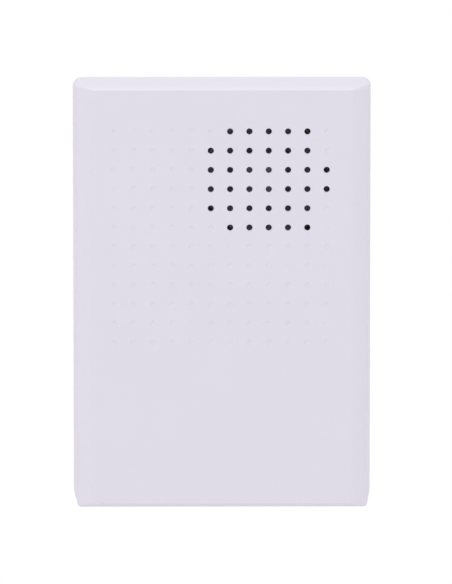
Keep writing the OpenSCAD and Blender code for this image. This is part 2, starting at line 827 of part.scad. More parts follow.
// Loudspeaker leads: round wires swept along a smooth curve from a solder tag to the plug
plug_top_y = plug_place.y + plug_size.y / 2;
wire_steps = 16;
wire_sides = 8;
wire_reach = 7;
function curve(a, b, c, d, t) =
    pow(1 - t, 3) * a + 3 * pow(1 - t, 2) * t * b + 3 * (1 - t) * t * t * c + pow(t, 3) * d;
function unit(v) = v / norm(v);
function lead_route(side) =
    let (from = [speaker_x + side * tag_span / 2, tag_tip_y, tag_z])
    let (to = [plug_place.x + side * plug_pitch / 2, plug_top_y, wire_z])
    let (down = [0, wire_reach, 0])
    [for (i = [0 : wire_steps]) curve(from, from - down, to + down, to, i / wire_steps)];
function lead_rings(route) = [
    for (i = [0 : wire_steps])
        let (ahead = route[min(i + 1, wire_steps)], behind = route[max(i - 1, 0)])
        let (along = i == 0 || i == wire_steps ? [0, -1, 0] : unit(ahead - behind))
        let (across = unit(cross(along, [0, 0, 1])), over = cross(across, along))
        [for (k = [0 : wire_sides - 1])
            route[i] + wire_r * (cos(360 * k / wire_sides) * across + sin(360 * k / wire_sides) * over)]
];
module speaker_lead(side) {
    rings = lead_rings(lead_route(side));
    last = wire_steps * wire_sides;
    walls = [
        for (i = [0 : wire_steps - 1], k = [0 : wire_sides - 1])
            let (a = i * wire_sides + k, b = i * wire_sides + (k + 1) % wire_sides)
            each [[a, b, b + wire_sides], [a, b + wire_sides, a + wire_sides]]
    ];
    ends = [
        for (k = [1 : wire_sides - 2])
            each [[0, k + 1, k], [last, last + k, last + k + 1]]
    ];
    upright() polyhedron(points = [for (ring = rings) each ring], faces = concat(walls, ends));
}
module speaker_lead_red() {
    color("#b3242a") speaker_lead(1);
}
module speaker_lead_black() {
    color("#1d1d1f") speaker_lead(-1);
}
module lead_plug() {
    color("#efece2") upright() translate([plug_place.x, plug_place.y, board_face])
        translate([-plug_size.x / 2, -plug_size.y / 2, 0]) cube(plug_size);
}

front_cover();
back_plate();
catch_tongue();
speaker_basket();
speaker_yoke();
speaker_magnet();
speaker_top_plate();
voice_coil();
speaker_spider();
speaker_cone();
speaker_surround();
dust_cap();
speaker_gasket();
speaker_tag_strip();
speaker_tags();
speaker_washers();
speaker_screws();
circuit_board();
board_screws();
melody_chip();
chip_pins();
power_transistors();
transistor_legs();
reservoir_capacitor();
small_capacitors();
ceramic_capacitors();
resistors();
rectifier_diodes();
component_leads();
volume_trimmer();
volume_rotor();
terminal_housing();
terminal_contacts();
terminal_screw_left();
terminal_screw_right();
clamp_cage_left();
clamp_cage_right();
lead_plug();
speaker_lead_red();
speaker_lead_black();
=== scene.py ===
"""Dresses the doorbell chime box: its pierced cover, loudspeaker and chime board, on a studio stage.

Lengths in the lists below are millimetres across, up the wall and out from the wall; every mesh is in metres.
"""

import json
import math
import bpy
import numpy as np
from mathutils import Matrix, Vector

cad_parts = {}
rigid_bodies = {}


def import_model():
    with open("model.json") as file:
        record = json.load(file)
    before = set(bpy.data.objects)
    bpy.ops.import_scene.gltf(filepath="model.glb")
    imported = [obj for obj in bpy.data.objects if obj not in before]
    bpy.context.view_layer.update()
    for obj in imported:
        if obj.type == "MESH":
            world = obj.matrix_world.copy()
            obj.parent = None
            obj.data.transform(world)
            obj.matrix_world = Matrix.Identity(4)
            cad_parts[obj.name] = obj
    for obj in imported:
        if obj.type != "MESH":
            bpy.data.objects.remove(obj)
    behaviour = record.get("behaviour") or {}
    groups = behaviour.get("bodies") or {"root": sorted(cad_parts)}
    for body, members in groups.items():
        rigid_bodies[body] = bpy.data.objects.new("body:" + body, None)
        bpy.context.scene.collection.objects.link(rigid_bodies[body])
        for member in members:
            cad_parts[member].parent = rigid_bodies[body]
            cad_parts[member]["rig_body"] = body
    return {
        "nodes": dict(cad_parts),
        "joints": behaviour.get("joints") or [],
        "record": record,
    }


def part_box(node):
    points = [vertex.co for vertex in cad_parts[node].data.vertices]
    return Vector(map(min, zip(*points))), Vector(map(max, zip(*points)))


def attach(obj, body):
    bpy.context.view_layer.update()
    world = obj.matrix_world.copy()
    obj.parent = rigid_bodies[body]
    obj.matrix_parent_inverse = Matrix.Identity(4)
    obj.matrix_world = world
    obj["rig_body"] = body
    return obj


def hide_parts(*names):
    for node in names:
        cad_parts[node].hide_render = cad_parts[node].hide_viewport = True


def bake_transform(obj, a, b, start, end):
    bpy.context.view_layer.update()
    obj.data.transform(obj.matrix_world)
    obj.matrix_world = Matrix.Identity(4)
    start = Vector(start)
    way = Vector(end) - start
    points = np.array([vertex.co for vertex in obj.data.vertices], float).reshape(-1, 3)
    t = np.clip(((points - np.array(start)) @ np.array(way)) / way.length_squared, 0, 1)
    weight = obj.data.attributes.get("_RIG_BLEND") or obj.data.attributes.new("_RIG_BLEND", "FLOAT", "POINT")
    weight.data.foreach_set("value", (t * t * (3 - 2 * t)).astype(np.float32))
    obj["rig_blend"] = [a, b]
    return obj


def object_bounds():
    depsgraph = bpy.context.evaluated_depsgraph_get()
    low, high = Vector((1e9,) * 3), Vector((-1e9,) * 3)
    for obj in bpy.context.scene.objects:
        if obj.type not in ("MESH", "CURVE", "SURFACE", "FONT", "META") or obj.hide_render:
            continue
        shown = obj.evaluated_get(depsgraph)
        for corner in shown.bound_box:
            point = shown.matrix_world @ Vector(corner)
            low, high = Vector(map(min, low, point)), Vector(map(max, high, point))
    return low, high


bl_info = {
    "name": "Doorbell Chime Box",
    "version": (1, 0, 0),
    "blender": (4, 5, 0),
    "location": "3D View > Sidebar > Chime Box",
    "description": "Builds the visible pieces, finishes and studio stage of a doorbell chime box",
    "category": "Add Mesh",
}

from collections import namedtuple
from functools import cache

import bmesh
import bpy
from bpy.props import FloatProperty, FloatVectorProperty, IntProperty, PointerProperty
from bpy.types import Operator, Panel, PropertyGroup
from mathutils import Matrix, Vector
from mathutils.geometry import interpolate_bezier

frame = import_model()

MM = 0.001
CAD_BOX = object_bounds()
Extent = namedtuple("Extent", "left right bottom top back front")


def extent(node):
    """A node's limits in millimetres: across, up the wall and out from the wall."""
    low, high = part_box(node)
    return Extent(low.x / MM, high.x / MM, low.z / MM, high.z / MM, -high.y / MM, -low.y / MM)


COVER = extent("front_cover")
BOARD = extent("circuit_board")
BASKET = extent("speaker_basket")
SPEAKER = ((BASKET.left + BASKET.right) / 2, (BASKET.bottom + BASKET.top) / 2)
GASKET_WIDTH = 2.0
COIL_GAP = 0.02
SPIDER_GLUE = 1.4
TAG_SPAN = 8.0
PLUG_PITCH = 2.5
PLUG_RISE = 4.0
ROUND_STEPS = 64
SMALL_STEPS = 24
FINE_STEPS = 96
DOUBLES = 1e-7
SEED = 7
WHITE = (1.0, 1.0, 1.0, 1.0)
SQUARE = ((-1, -1), (1, -1), (1, 1), (-1, 1))


# Sizes and colours


def length(name, description, millimetres):
    """A length property whose default is given in millimetres."""
    return FloatProperty(
        name=name, description=description, default=millimetres * MM, min=0.0, precision=5, unit="LENGTH"
    )


def colour(name, description, red, green, blue):
    """A colour property whose default is given as the 0 to 255 levels of a picture."""
    return FloatVectorProperty(
        name=name, description=description, default=linear(red, green, blue)[:3], min=0.0, max=1.0, size=3,
        subtype="COLOR",
    )


def linear(red, green, blue):
    """Linear light from the 0 to 255 levels of a picture, with full alpha."""
    levels = (level / 255 for level in (red, green, blue))
    return tuple(c / 12.92 if c <= 0.04045 else ((c + 0.055) / 1.055) ** 2.4 for c in levels) + (1.0,)


class CoverSettings(PropertyGroup):
    """Sizes of the moulded cover."""

    width: length("Width", "Width at the rim", COVER.right - COVER.left)
    height: length("Height", "Height at the rim", COVER.top - COVER.bottom)
    front: length("Front", "Distance of the front face from the wall", COVER.front)
    rim: length("Rim", "Distance of the rim from the wall", COVER.back)
    rim_land: length("Rim land", "Straight part of the wall next to the rim", 1.0)
    wall: length("Wall", "Thickness of the walls and the front", 2.0)
    corner: length("Corner", "Corner radius of the outline at the rim", 2.6)
    front_corner: length("Front corner", "Corner radius where the rounding of the front edges begins", 1.2)
    side_draft: length("Side draft", "How far each side leans in", 1.4)
    end_draft: length("End draft", "How far the top and bottom lean in", 0.3)
    side_round: length("Side rounding", "Width of the rounding along the left and right edges", 5.0)
    end_round: length("End rounding", "Width of the rounding along the top and bottom edges", 1.6)
    round_depth: length("Rounding depth", "Depth of the rounding along the front edges", 3.6)
    flatness: FloatProperty(
        name="Flatness", description="Shape of the rounding: 1 is a quarter ellipse and 2 a straight bevel",
        default=1.5, min=1.0, max=2.0,
    )
    chamfer: length("Inside chamfer", "Chamfer between the sides and the front, inside", 3.0)
    end_chamfer: length("Inside end chamfer", "Chamfer between the ends and the front, inside", 0.8)


class GrilleSettings(PropertyGroup):
    """Sizes of the dimple field and its pierced patch."""

    pitch: length("Pitch", "Distance between neighbouring holes", 5.9)
    count: IntProperty(
        name="Count", description="Holes and dimples along each side of the field", default=12, min=2
    )
    shift: FloatProperty(
        name="Shift", description="How far the field sits to the right of the middle", default=-0.6 * MM,
        precision=5, unit="LENGTH",
    )
    top: length("Top margin", "Distance from the top of the cover to the first row", 14.4)
    hole: length("Hole", "Diameter of the holes and dimples", 1.9)
    mouth: length("Mouth", "Radius of the broken edge round each hole", 0.07)
    dimple: length("Dimple", "Depth of the dimples", 0.2)
    patch: length("Patch", "Radius round the loudspeaker's axis inside which the dimples are pierced", 20.2)


class SpeakerSettings(PropertyGroup):
    """Sizes of the loudspeaker's soft pieces."""

    cone_ribs: IntProperty(name="Cone ribs", description="Pressed rings in the paper cone", default=5, min=0)
    cap_radius: length("Cap radius", "Radius of the dust cap", 7.6)
    cap_rise: length("Cap rise", "Rise of the dust cap above its edge", 3.0)
    roll: length("Roll", "Radius of the surround's half roll", 1.3)
    roll_wall: length("Roll wall", "Thickness of the surround", 0.35)
    lead: length("Lead", "Diameter of the loudspeaker's insulated leads", 1.4)


class ColourSettings(PropertyGroup):
    """Colours of the finishes."""

    shell: colour("Shell", "Cover's moulded plastic", 224, 220, 233)
    plate: colour("Plate", "Wall plate's moulded plastic", 219, 217, 226)
    steel: colour("Steel", "Zinc-plated sheet steel", 205, 208, 212)
    screw: colour("Screws", "Bright screws", 214, 214, 216)
    ferrite: colour("Ferrite", "Magnet ring", 70, 70, 73)
    brass: colour("Brass", "Clamps and tags", 222, 186, 112)
    tin: colour("Tin", "Tinned wire and solder", 214, 215, 217)
    copper: colour("Copper", "Voice coil winding", 206, 120, 62)
    paper: colour("Paper", "Cone's pressed paper", 143, 138, 151)
    cap: colour("Dust cap", "Dust cap's paler paper", 190, 185, 197)
    rubber: colour("Surround", "Rolled rubber surround", 58, 55, 61)
    foam: colour("Foam", "Gasket foam", 74, 74, 78)
    cloth: colour("Spider", "Impregnated cloth", 200, 158, 84)
    phenolic: colour("Phenolic", "Tag strip's laminate", 176, 124, 62)
    board: colour("Board", "Solder mask", 34, 92, 50)
    legend: colour("Legend", "Printed part outlines", 226, 228, 222)
    epoxy: colour("Epoxy", "Moulded part bodies", 40, 40, 43)
    sleeve: colour("Sleeve", "Capacitor sleeves", 36, 44, 66)
    stripe: colour("Stripe", "Polarity stripe of the capacitors", 168, 178, 194)
    disc: colour("Disc", "Dipped ceramic discs", 205, 140, 58)
    lacquer: colour("Lacquer", "Resistor bodies", 214, 190, 150)
    trimmer: colour("Trimmer", "Volume trimmer's housing", 46, 98, 172)
    rotor: colour("Rotor", "Volume trimmer's rotor", 233, 231, 224)
    terminal: colour("Terminal", "Clamp terminal's housing", 62, 146, 92)
    plug: colour("Plug", "Lead plug's nylon", 236, 231, 216)
    red: colour("Red lead", "Insulation of the red lead", 182, 34, 38)
    black: colour("Black lead", "Insulation of the black lead", 34, 34, 37)


class StageSettings(PropertyGroup):
    """Camera, floor and lamps."""

    distance: length("Distance", "Camera's distance from the box", 2000.0)
    lens: FloatProperty(name="Lens", description="Focal length in millimetres", default=400.0, min=1.0)
    azimuth: FloatProperty(
        name="Azimuth", description="Camera's angle to the side", default=math.radians(-0.5), subtype="ANGLE"
    )
    elevation: FloatProperty(
        name="Elevation", description="Camera's angle above level", default=math.radians(7.0), subtype="ANGLE"
    )
    aim: FloatVectorProperty(
        name="Aim", description="Point that the camera looks at", default=(1.21 * MM, -14.0 * MM, 0.05 * MM),
        size=3, subtype="XYZ", unit="LENGTH",
    )
    floor_drop: length("Floor drop", "Distance of the floor under the box", 240.0)
    floor_size: length("Floor size", "Side of the floor", 7000.0)
    sky: FloatProperty(
        name="Sky", description="Level of the even light from all round", default=0.68, min=0.0
    )


SETTINGS = {
    "chime_cover": CoverSettings,
    "chime_grille": GrilleSettings,
    "chime_speaker": SpeakerSettings,
    "chime_colours": ColourSettings,
    "chime_stage": StageSettings,
}


def sizes(group):
    """The numbers of a settings group by name, its lengths in millimetres."""
    values = {key: getattr(group, key) for key in group.__annotations__}
    return {
        key: value / MM if group.bl_rna.properties[key].unit == "LENGTH" else value
        for key, value in values.items()
    }


# Node trees


class Socket:
    """An output socket that takes part in sums: each operator adds a Math node."""

    def __init__(self, graph, link):
        self.graph = graph
        self.link = link

    def math(self, operation, *values):
        return self.graph.node("ShaderNodeMath", {"operation": operation}, dict(enumerate(values)))

    def other(self, output):
        """Another output of the same node."""
        return Socket(self.graph, self.link.node.outputs[output])

    def __add__(self, value):
        return self.math("ADD", self, value)

    __radd__ = __add__

    def __sub__(self, value):
        return self.math("SUBTRACT", self, value)

    def __rsub__(self, value):
        return self.math("SUBTRACT", value, self)

    def __mul__(self, value):
        return self.math("MULTIPLY", self, value)

    __rmul__ = __mul__

    def __lt__(self, value):
        return self.math("LESS_THAN", self, value)

    def __abs__(self):
        return self.math("ABSOLUTE", self)

    def sine(self):
        return self.math("SINE", self)

    def fraction(self):
        return self.math("FRACT", self)

    def larger(self, value):
        return self.math("MAXIMUM", self, value)

    def ramp(self, low, high):
        """0 below low, 1 above high and a smooth step between."""
        return self.graph.node(
            "ShaderNodeMapRange", {"interpolation_type": "SMOOTHSTEP"},
            {"Value": self, "From Min": low, "From Max": high, "To Min": 0.0, "To Max": 1.0},
        )


class Graph:
    """A node tree that is filled from Python."""

    def __init__(self, tree):
        self.tree = tree
        tree.nodes.clear()

    def node(self, kind, settings=None, sockets=None, out=0):
        """Adds one node: its settings first, then the values or links of its sockets; gives one output."""
        made = self.tree.nodes.new(kind)
        for name, value in (settings or {}).items():
            if name == "stops":
                self.set_stops(made.color_ramp, value)
            else:
                setattr(made, name, value)
        for key, value in (sockets or {}).items():
            for item in value if isinstance(value, list) else [value]:
                if isinstance(item, Socket):
                    self.tree.links.new(item.link, made.inputs[key])
                else:
                    made.inputs[key].default_value = item
        return Socket(self, made.outputs[out]) if len(made.outputs) else None

    def seen(self):
        """1 for rays from the camera, also by way of a gloss or a clear piece, and 0 for all others."""
        path = self.node("ShaderNodeLightPath", out="Is Camera Ray")
        return path.larger(path.other("Is Glossy Ray")).larger(path.other("Is Transmission Ray"))

    @staticmethod
    def set_stops(ramp, stops):
        """Steps of even tone along a colour ramp."""
        ramp.interpolation = "CONSTANT"
        while len(ramp.elements) < len(stops):
            ramp.elements.new(1.0)
        for element, (position, tone) in zip(ramp.elements, stops):
            element.position = position
            element.color = tone


class Finish(Graph):
    """A material whose one shader is fed by sums of sockets on Object coordinates."""

    def __init__(self, name):
        self.material = bpy.data.materials.new(name)
        self.material.use_nodes = True
        super().__init__(self.material.node_tree)
        self.point = self.node("ShaderNodeTexCoord", out="Object")

    def axis(self, index, point=None):
        return self.node("ShaderNodeSeparateXYZ", None, {0: point or self.point}, out=index)

    def scaled(self, stretch):
        return self.node("ShaderNodeVectorMath", {"operation": "MULTIPLY"}, {0: self.point, 1: stretch})

    def noise(self, size, detail=2.0, stretch=(1.0, 1.0, 1.0)):
        """Clouds from 0 to 1 whose lumps are about size metres across."""
        point = self.scaled(tuple(s / size for s in stretch))
        return self.node("ShaderNodeTexNoise", None, {"Vector": point, "Scale": 1.0, "Detail": detail})

    def cells(self, size):
        """Distance to the nearest of a field of scattered points about size metres apart."""
        point = self.scaled((1 / size,) * 3)
        return self.node("ShaderNodeTexVoronoi", {"feature": "F1"}, {"Vector": point, "Scale": 1.0})

    def attribute(self, name, out="Fac"):
        return self.node("ShaderNodeAttribute", {"attribute_name": name}, None, out=out)

    def waves(self, value, size):
        """Even waves from 0 to 1 along a length, one every size metres."""
        return (value * (math.tau / size)).sine() * 0.5 + 0.5

    def mix(self, factor, low, high):
        return self.node(
            "ShaderNodeMix", {"data_type": "RGBA"}, {0: factor, 6: low, 7: high}, out=2
        )

    def vary(self, factor, tone, spread):
        """The tone, darker where the factor is 0 and lighter where it is 1."""
        low = tuple(c * (1 - spread) for c in tone[:3]) + (1.0,)
        high = tuple(min(1.0, c * (1 + spread)) for c in tone[:3]) + (1.0,)
        return self.mix(factor, low, high)

    def surface(self, tone, rough, bump, depth, **constants):
        """Ends the material: one shader with its tone, roughness, relief and constant inputs."""
        relief = self.node("ShaderNodeBump", None, {"Strength": 1.0, "Distance": depth, "Height": bump})
        sockets = {"Base Color": tone, "Roughness": rough, "Normal": relief}
        sockets.update({key.replace("_", " "): value for key, value in constants.items()})
        shader = self.node("ShaderNodeBsdfPrincipled", None, sockets)
        self.node("ShaderNodeOutputMaterial", None, {"Surface": shader})
        return self.material


class GeometryTree(Graph):
    """A Geometry Nodes tree with named inputs, made into a plain mesh on one object at a time."""

    def __init__(self, name, inputs):
        tree = bpy.data.node_groups.new(name, "GeometryNodeTree")
        tree.interface.new_socket("Geometry", in_out="INPUT", socket_type="NodeSocketGeometry")
        for label, kind in inputs.items():
            tree.interface.new_socket(label, in_out="INPUT", socket_type="NodeSocket" + kind)
        tree.interface.new_socket("Geometry", in_out="OUTPUT", socket_type="NodeSocketGeometry")
        super().__init__(tree)
        self.entry = tree.nodes.new("NodeGroupInput")

    def input(self, label):
        return Socket(self, self.entry.outputs[label])

    def part(self, label):
        """The geometry of an object input."""
        return self.node("GeometryNodeObjectInfo", None, {"Object": self.input(label)}, out="Geometry")

    def close(self, geometry):
        """Ends the tree: real geometry with its material."""
        real = self.node("GeometryNodeRealizeInstances", None, {"Geometry": geometry})
        painted = self.node("GeometryNodeSetMaterial", None, {
            "Geometry": real, "Material": self.input("Material"),
        })
        self.node("NodeGroupOutput", None, {"Geometry": painted})

    def lines(self):
        """The edges that come in, as curves."""
        return self.node("GeometryNodeMeshToCurve", None, {"Mesh": self.input("Geometry")})

    def sweep(self, lines, profile):
        """Ends the tree with a closed profile swept along curves."""
        self.close(self.node("GeometryNodeCurveToMesh", None, {
            "Curve": lines, "Profile Curve": profile, "Fill Caps": True,
        }))

    def make(self, obj, values):
        """Runs the tree on an object with these input values and leaves a plain mesh there."""
        modifier = obj.modifiers.new(self.tree.name, "NODES")
        modifier.node_group = self.tree
        for item in self.tree.interface.items_tree:
            if item.in_out == "INPUT" and item.name in values:
                modifier[item.identifier] = values[item.name]
        return apply_modifiers(obj)


# Meshes


def place(across, up, out):
    """World point in metres from millimetres across, up the wall and out from the wall."""
    return Vector((across, -out, up)) * MM


def link_object(name, mesh):
    obj = bpy.data.objects.new(name, mesh)
    bpy.context.scene.collection.objects.link(obj)
    return obj


def solid(name, points, faces):
    """A closed mesh object: doubles merged, faces turned outwards."""
    mesh = bpy.data.meshes.new(name)
    mesh.from_pydata([tuple(p) for p in points], [], faces)
    bm = bmesh.new()
    bm.from_mesh(mesh)
    bmesh.ops.remove_doubles(bm, verts=bm.verts, dist=DOUBLES)
    bmesh.ops.recalc_face_normals(bm, faces=bm.faces)
    bm.to_mesh(mesh)
    bm.free()
    return link_object(name, mesh)


def loft(name, rings, looped=False):
    """Joins equal rings of points by quads: capped at both ends, or looped from the last to the first."""
    count = len(rings[0])
    pairs = [(i, i + 1) for i in range(len(rings) - 1)] + ([(len(rings) - 1, 0)] if looped else [])
    faces = [
        (a * count + k, a * count + (k + 1) % count, b * count + (k + 1) % count, b * count + k)
        for a, b in pairs for k in range(count)
    ]
    if not looped:
        faces += [tuple(range(count)), tuple((len(rings) - 1) * count + k for k in range(count))]
    return solid(name, [p for ring in rings for p in ring], faces)


def turned(name, profile, across=0.0, up=0.0, looped=False, steps=ROUND_STEPS):
    """Turns a profile of (radius, out) about an axis that stands out from the wall."""
    turns = [math.tau * k / steps for k in range(steps)]
    return loft(
        name,
        [[place(across + r * math.cos(a), up + r * math.sin(a), out) for a in turns] for r, out in profile],
        looped,
    )


def turned_across(name, profile):
    """Turns a profile of (radius, across) about the axis across the box."""
    turns = [math.tau * k / SMALL_STEPS for k in range(SMALL_STEPS)]
    return loft(name, [[place(x, r * math.cos(a), r * math.sin(a)) for a in turns] for r, x in profile])


def block(name, low, high):
    """A box between two corners given across, up and out."""
    (x0, y0, z0), (x1, y1, z1) = low, high
    corners = ((x0, y0), (x1, y0), (x1, y1), (x0, y1))
    return loft(name, [[place(x, y, z) for x, y in corners] for z in (z0, z1)])


def arc(across, out, radius, start, end, steps):
    """Points of an arc in a profile, its angles in degrees."""
    angles = [math.radians(start + (end - start) * i / steps) for i in range(steps + 1)]
    return [(across + radius * math.cos(a), out + radius * math.sin(a)) for a in angles]


def round_node(node):
    """Outer radius of a round node, and its nearest and farthest distance from the wall."""
    box = extent(node)
    return (box.right - box.left) / 2, box.back, box.front


def points_object(name, points):
    mesh = bpy.data.meshes.new(name)
    mesh.from_pydata([tuple(p) for p in points], [], [])
    return link_object(name, mesh)


def lines_object(name, lines):
    """A mesh of open or closed lines of points."""
    points, edges = [], []
    for line in lines:
        first = len(points)
        closed = line[0] == line[-1]
        kept = line[:-1] if closed else line
        points += kept
        edges += [(first + i, first + i + 1) for i in range(len(kept) - 1)]
        edges += [(first + len(kept) - 1, first)] if closed else []
    mesh = bpy.data.meshes.new(name)
    mesh.from_pydata([tuple(p) for p in points], edges, [])
    return link_object(name, mesh)


def apply_modifiers(obj):
    """Turns an object and its modifiers into a plain mesh."""
    bpy.context.view_layer.update()
    depsgraph = bpy.context.evaluated_depsgraph_get()
    mesh = bpy.data.meshes.new_from_object(
        obj.evaluated_get(depsgraph), preserve_all_data_layers=True, depsgraph=depsgraph
    )
    obj.modifiers.clear()
    old, obj.data = obj.data, mesh
    mesh.name = obj.name
    bpy.data.meshes.remove(old)
    return obj


def smooth(obj, angle, weighted=False):
    """Smooth shading with sharp edges past an angle; large flat faces may keep their own normals."""
    obj.data.shade_smooth()
    obj.data.set_sharp_from_angle(angle=math.radians(angle))
    if weighted:
        modifier = obj.modifiers.new("flat faces", "WEIGHTED_NORMAL")
        modifier.keep_sharp = True
        modifier.weight = 100
        apply_modifiers(obj)
    return obj


def subtract(obj, *cutters):
    """Cuts other objects out of one and removes them."""
    for cutter in cutters:
        modifier = obj.modifiers.new("cut", "BOOLEAN")
        modifier.operation = "DIFFERENCE"
        modifier.solver = "EXACT"
        modifier.object = cutter
    apply_modifiers(obj)
    discard(*cutters)
    return obj


def discard(*objects):
    for obj in objects:
        mesh = obj.data
        bpy.data.objects.remove(obj)
        bpy.data.meshes.remove(mesh)


def join(obj, *others):
    """Adds other objects' meshes to one and removes them."""
    bm = bmesh.new()
    for item in (obj, *others):
        bm.from_mesh(item.data)
    bm.to_mesh(obj.data)
    bm.free()
    discard(*others)
    return obj


def join_with_attributes(obj, other):
    """Joins two pieces that carry the same attributes."""
    with bpy.context.temp_override(active_object=obj, selected_editable_objects=[obj, other], object=obj):
        bpy.ops.object.join()
    return obj


def bevelled(obj, width, segments=2):
    """Breaks the hard edges of an object by a small round."""
    modifier = obj.modifiers.new("broken edges", "BEVEL")
    modifier.width = width * MM
    modifier.segments = segments
    modifier.limit_method = "ANGLE"
    modifier.angle_limit = math.radians(40)
    modifier.use_clamp_overlap = True
    apply_modifiers(obj)
    return smooth(obj, 35, weighted=True)


def copy_node(name, node):
    """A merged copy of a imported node's mesh, its coplanar triangles joined."""
    bm = bmesh.new()
    bm.from_mesh(frame["nodes"][node].data)
    bmesh.ops.remove_doubles(bm, verts=bm.verts, dist=2e-6)
    bmesh.ops.dissolve_limit(bm, angle_limit=math.radians(0.5), verts=bm.verts, edges=bm.edges)
    mesh = bpy.data.meshes.new(name)
    bm.to_mesh(mesh)
    bm.free()
    return link_object(name, mesh)


def store(obj, name, value_of, vector=False):
    """Keeps a number or a vector for each vertex, worked out from its place, as an attribute of the mesh."""
    attribute = obj.data.attributes.new(name, "FLOAT_VECTOR" if vector else "FLOAT", "POINT")
    for vertex, item in zip(obj.data.vertices, attribute.data):
        setattr(item, "vector" if vector else "value", value_of(vertex.co))


def wear(obj, material):
    """Gives a piece one finish all over."""
    obj.data.materials.clear()
    obj.data.materials.append(material)
    return obj


def fit(obj, body, slot, *nodes):
    """Hands a piece to the frame: the body it rides on and the nodes it stands for. The slot argument is not
    used.
    """
    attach(obj, body)
    if nodes:
        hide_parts(*nodes)
    return obj


# Finishes


def moulded(name, tone, rough=0.42, grain=0.25, depth=0.004, mottle=0.012, **constants):
    """Moulded plastic: a fine spark-eroded grain over faint clouds of tone."""
    finish = Finish(name)
    fine = finish.noise(grain * MM, 2.0)
    cloud = finish.noise(18 * MM, 3.0)
    return finish.surface(
        finish.vary(cloud, tone, mottle), rough + 0.1 * (fine - 0.5), bump=fine, depth=depth * MM, **constants
    )


def plated(name, tone):
    """Plated sheet steel: rolling streaks, a faint crystal pattern and cloudy gloss."""
    finish = Finish(name)
    lines = finish.noise(0.12 * MM, 2.0, (1.0, 1.0, 0.12))
    crystals = finish.cells(1.6 * MM)
    cloud = finish.noise(5 * MM, 3.0)
    rough = 0.3 + 0.16 * (cloud - 0.5) + 0.1 * (lines - 0.5)
    return finish.surface(
        finish.vary(0.6 * cloud + 0.4 * crystals, tone, 0.10), rough, bump=lines, depth=0.002 * MM,
        Metallic=1.0,
    )


def bright_screw(name, tone):
    """Bright zinc plate with a thin straw-coloured bloom."""
    finish = Finish(name)
    cloud = finish.noise(1.4 * MM, 3.0)
    fine = finish.noise(0.08 * MM, 2.0)
    bloom = (tone[0], tone[1] * 0.96, tone[2] * 0.82, 1.0)
    return finish.surface(
        finish.mix(cloud.ramp(0.45, 0.75), tone, bloom), 0.24 + 0.14 * cloud, bump=fine, depth=0.0015 * MM,
        Metallic=1.0,
    )


def sintered(name, tone):
    """Sintered ferrite: dull, with a close grain and a few bright specks."""
    finish = Finish(name)
    grain = finish.cells(0.35 * MM)
    cloud = finish.noise(4 * MM, 3.0)
    specks = 1 - grain.ramp(0.05, 0.14)
    return finish.surface(
        finish.mix(0.25 * specks, finish.vary(cloud, tone, 0.15), (0.3, 0.3, 0.31, 1.0)), 0.62 + 0.1 * cloud,
        bump=grain, depth=0.01 * MM,
    )


def tinned_brass(name, brass, tin):
    """Pressed brass with a worn tin plate."""
    finish = Finish(name)
    cloud = finish.noise(1.2 * MM, 4.0)
    lines = finish.noise(0.1 * MM, 2.0, (0.15, 1.0, 1.0))
    return finish.surface(
        finish.mix(cloud.ramp(0.50, 0.66), brass, tin), 0.26 + 0.12 * cloud + 0.08 * lines, bump=lines,
        depth=0.0015 * MM, Metallic=1.0,
    )


def tinned(name, tone):
    """Tinned wire and solder: bright, slightly uneven."""
    finish = Finish(name)
    cloud = finish.noise(0.5 * MM, 3.0)
    return finish.surface(
        finish.vary(cloud, tone, 0.08), 0.18 + 0.2 * cloud, bump=cloud, depth=0.006 * MM, Metallic=1.0
    )


def winding(name, tone):
    """Enamelled wire wound side by side."""
    finish = Finish(name)
    turns = finish.waves(finish.axis(1), 0.22 * MM)
    cloud = finish.noise(1.5 * MM, 2.0)
    return finish.surface(
        finish.vary(0.6 * turns + 0.4 * cloud, tone, 0.22), 0.3 + 0.1 * cloud, bump=turns, depth=0.03 * MM,
        Metallic=0.85, Coat_Weight=0.4,
    )


def pressed_paper(name, tone, rough=0.75, spread=0.28):
    """Pressed paper pulp: short fibres lying in two directions, with pale flecks."""
    finish = Finish(name)
    one = finish.noise(0.35 * MM, 3.0, (0.18, 1.0, 1.0))
    two = finish.noise(0.35 * MM, 3.0, (1.0, 1.0, 0.18))
    fibres = one.larger(two)
    flecks = fibres.ramp(0.66, 0.76)
    return finish.surface(
        finish.vary(0.7 * fibres + 0.3 * flecks, tone, spread), rough - 0.1 * flecks, bump=fibres,
        depth=0.03 * MM, Sheen_Weight=0.15,
    )


def rolled_rubber(name, tone):
    """Thin rubber with a dusting of talc."""
    finish = Finish(name)
    fine = finish.noise(0.15 * MM, 3.0)
    dust = finish.noise(3.0 * MM, 4.0).ramp(0.52, 0.72)
    pale = tuple(0.5 * c + 0.05 for c in tone[:3]) + (1.0,)
    return finish.surface(
        finish.mix(0.5 * dust, tone, pale), 0.46 + 0.2 * dust, bump=fine, depth=0.008 * MM
    )


def closed_foam(name, tone):
    """Closed-cell foam: small open pits where the cells were cut, with painted shade darkening them."""
    finish = Finish(name)
    pits = finish.cells(0.3 * MM)
    cloud = finish.noise(2.0 * MM, 2.0)
    # Painted shade: the tone drops to a third inside each pit, where shade would fall.
    pit_shade = tuple(0.35 * c for c in tone[:3]) + (1.0,)
    return finish.surface(
        finish.mix(pits.ramp(0.1, 0.55), pit_shade, finish.vary(cloud, tone, 0.1)), 0.86 + 0.08 * cloud, bump=pits,
        depth=0.09 * MM,
    )


def pressed_cloth(name, tone):
    """Plain weave stiffened with resin."""
    finish = Finish(name)
    warp = finish.waves(finish.axis(0), 0.34 * MM)
    weft = finish.waves(finish.axis(2), 0.34 * MM)
    weave = warp * weft + (1 - warp) * (1 - weft)
    cloud = finish.noise(2.5 * MM, 3.0)
    return finish.surface(
        finish.vary(0.65 * weave + 0.35 * cloud, tone, 0.3), 0.55 + 0.2 * weave, bump=weave, depth=0.04 * MM
    )


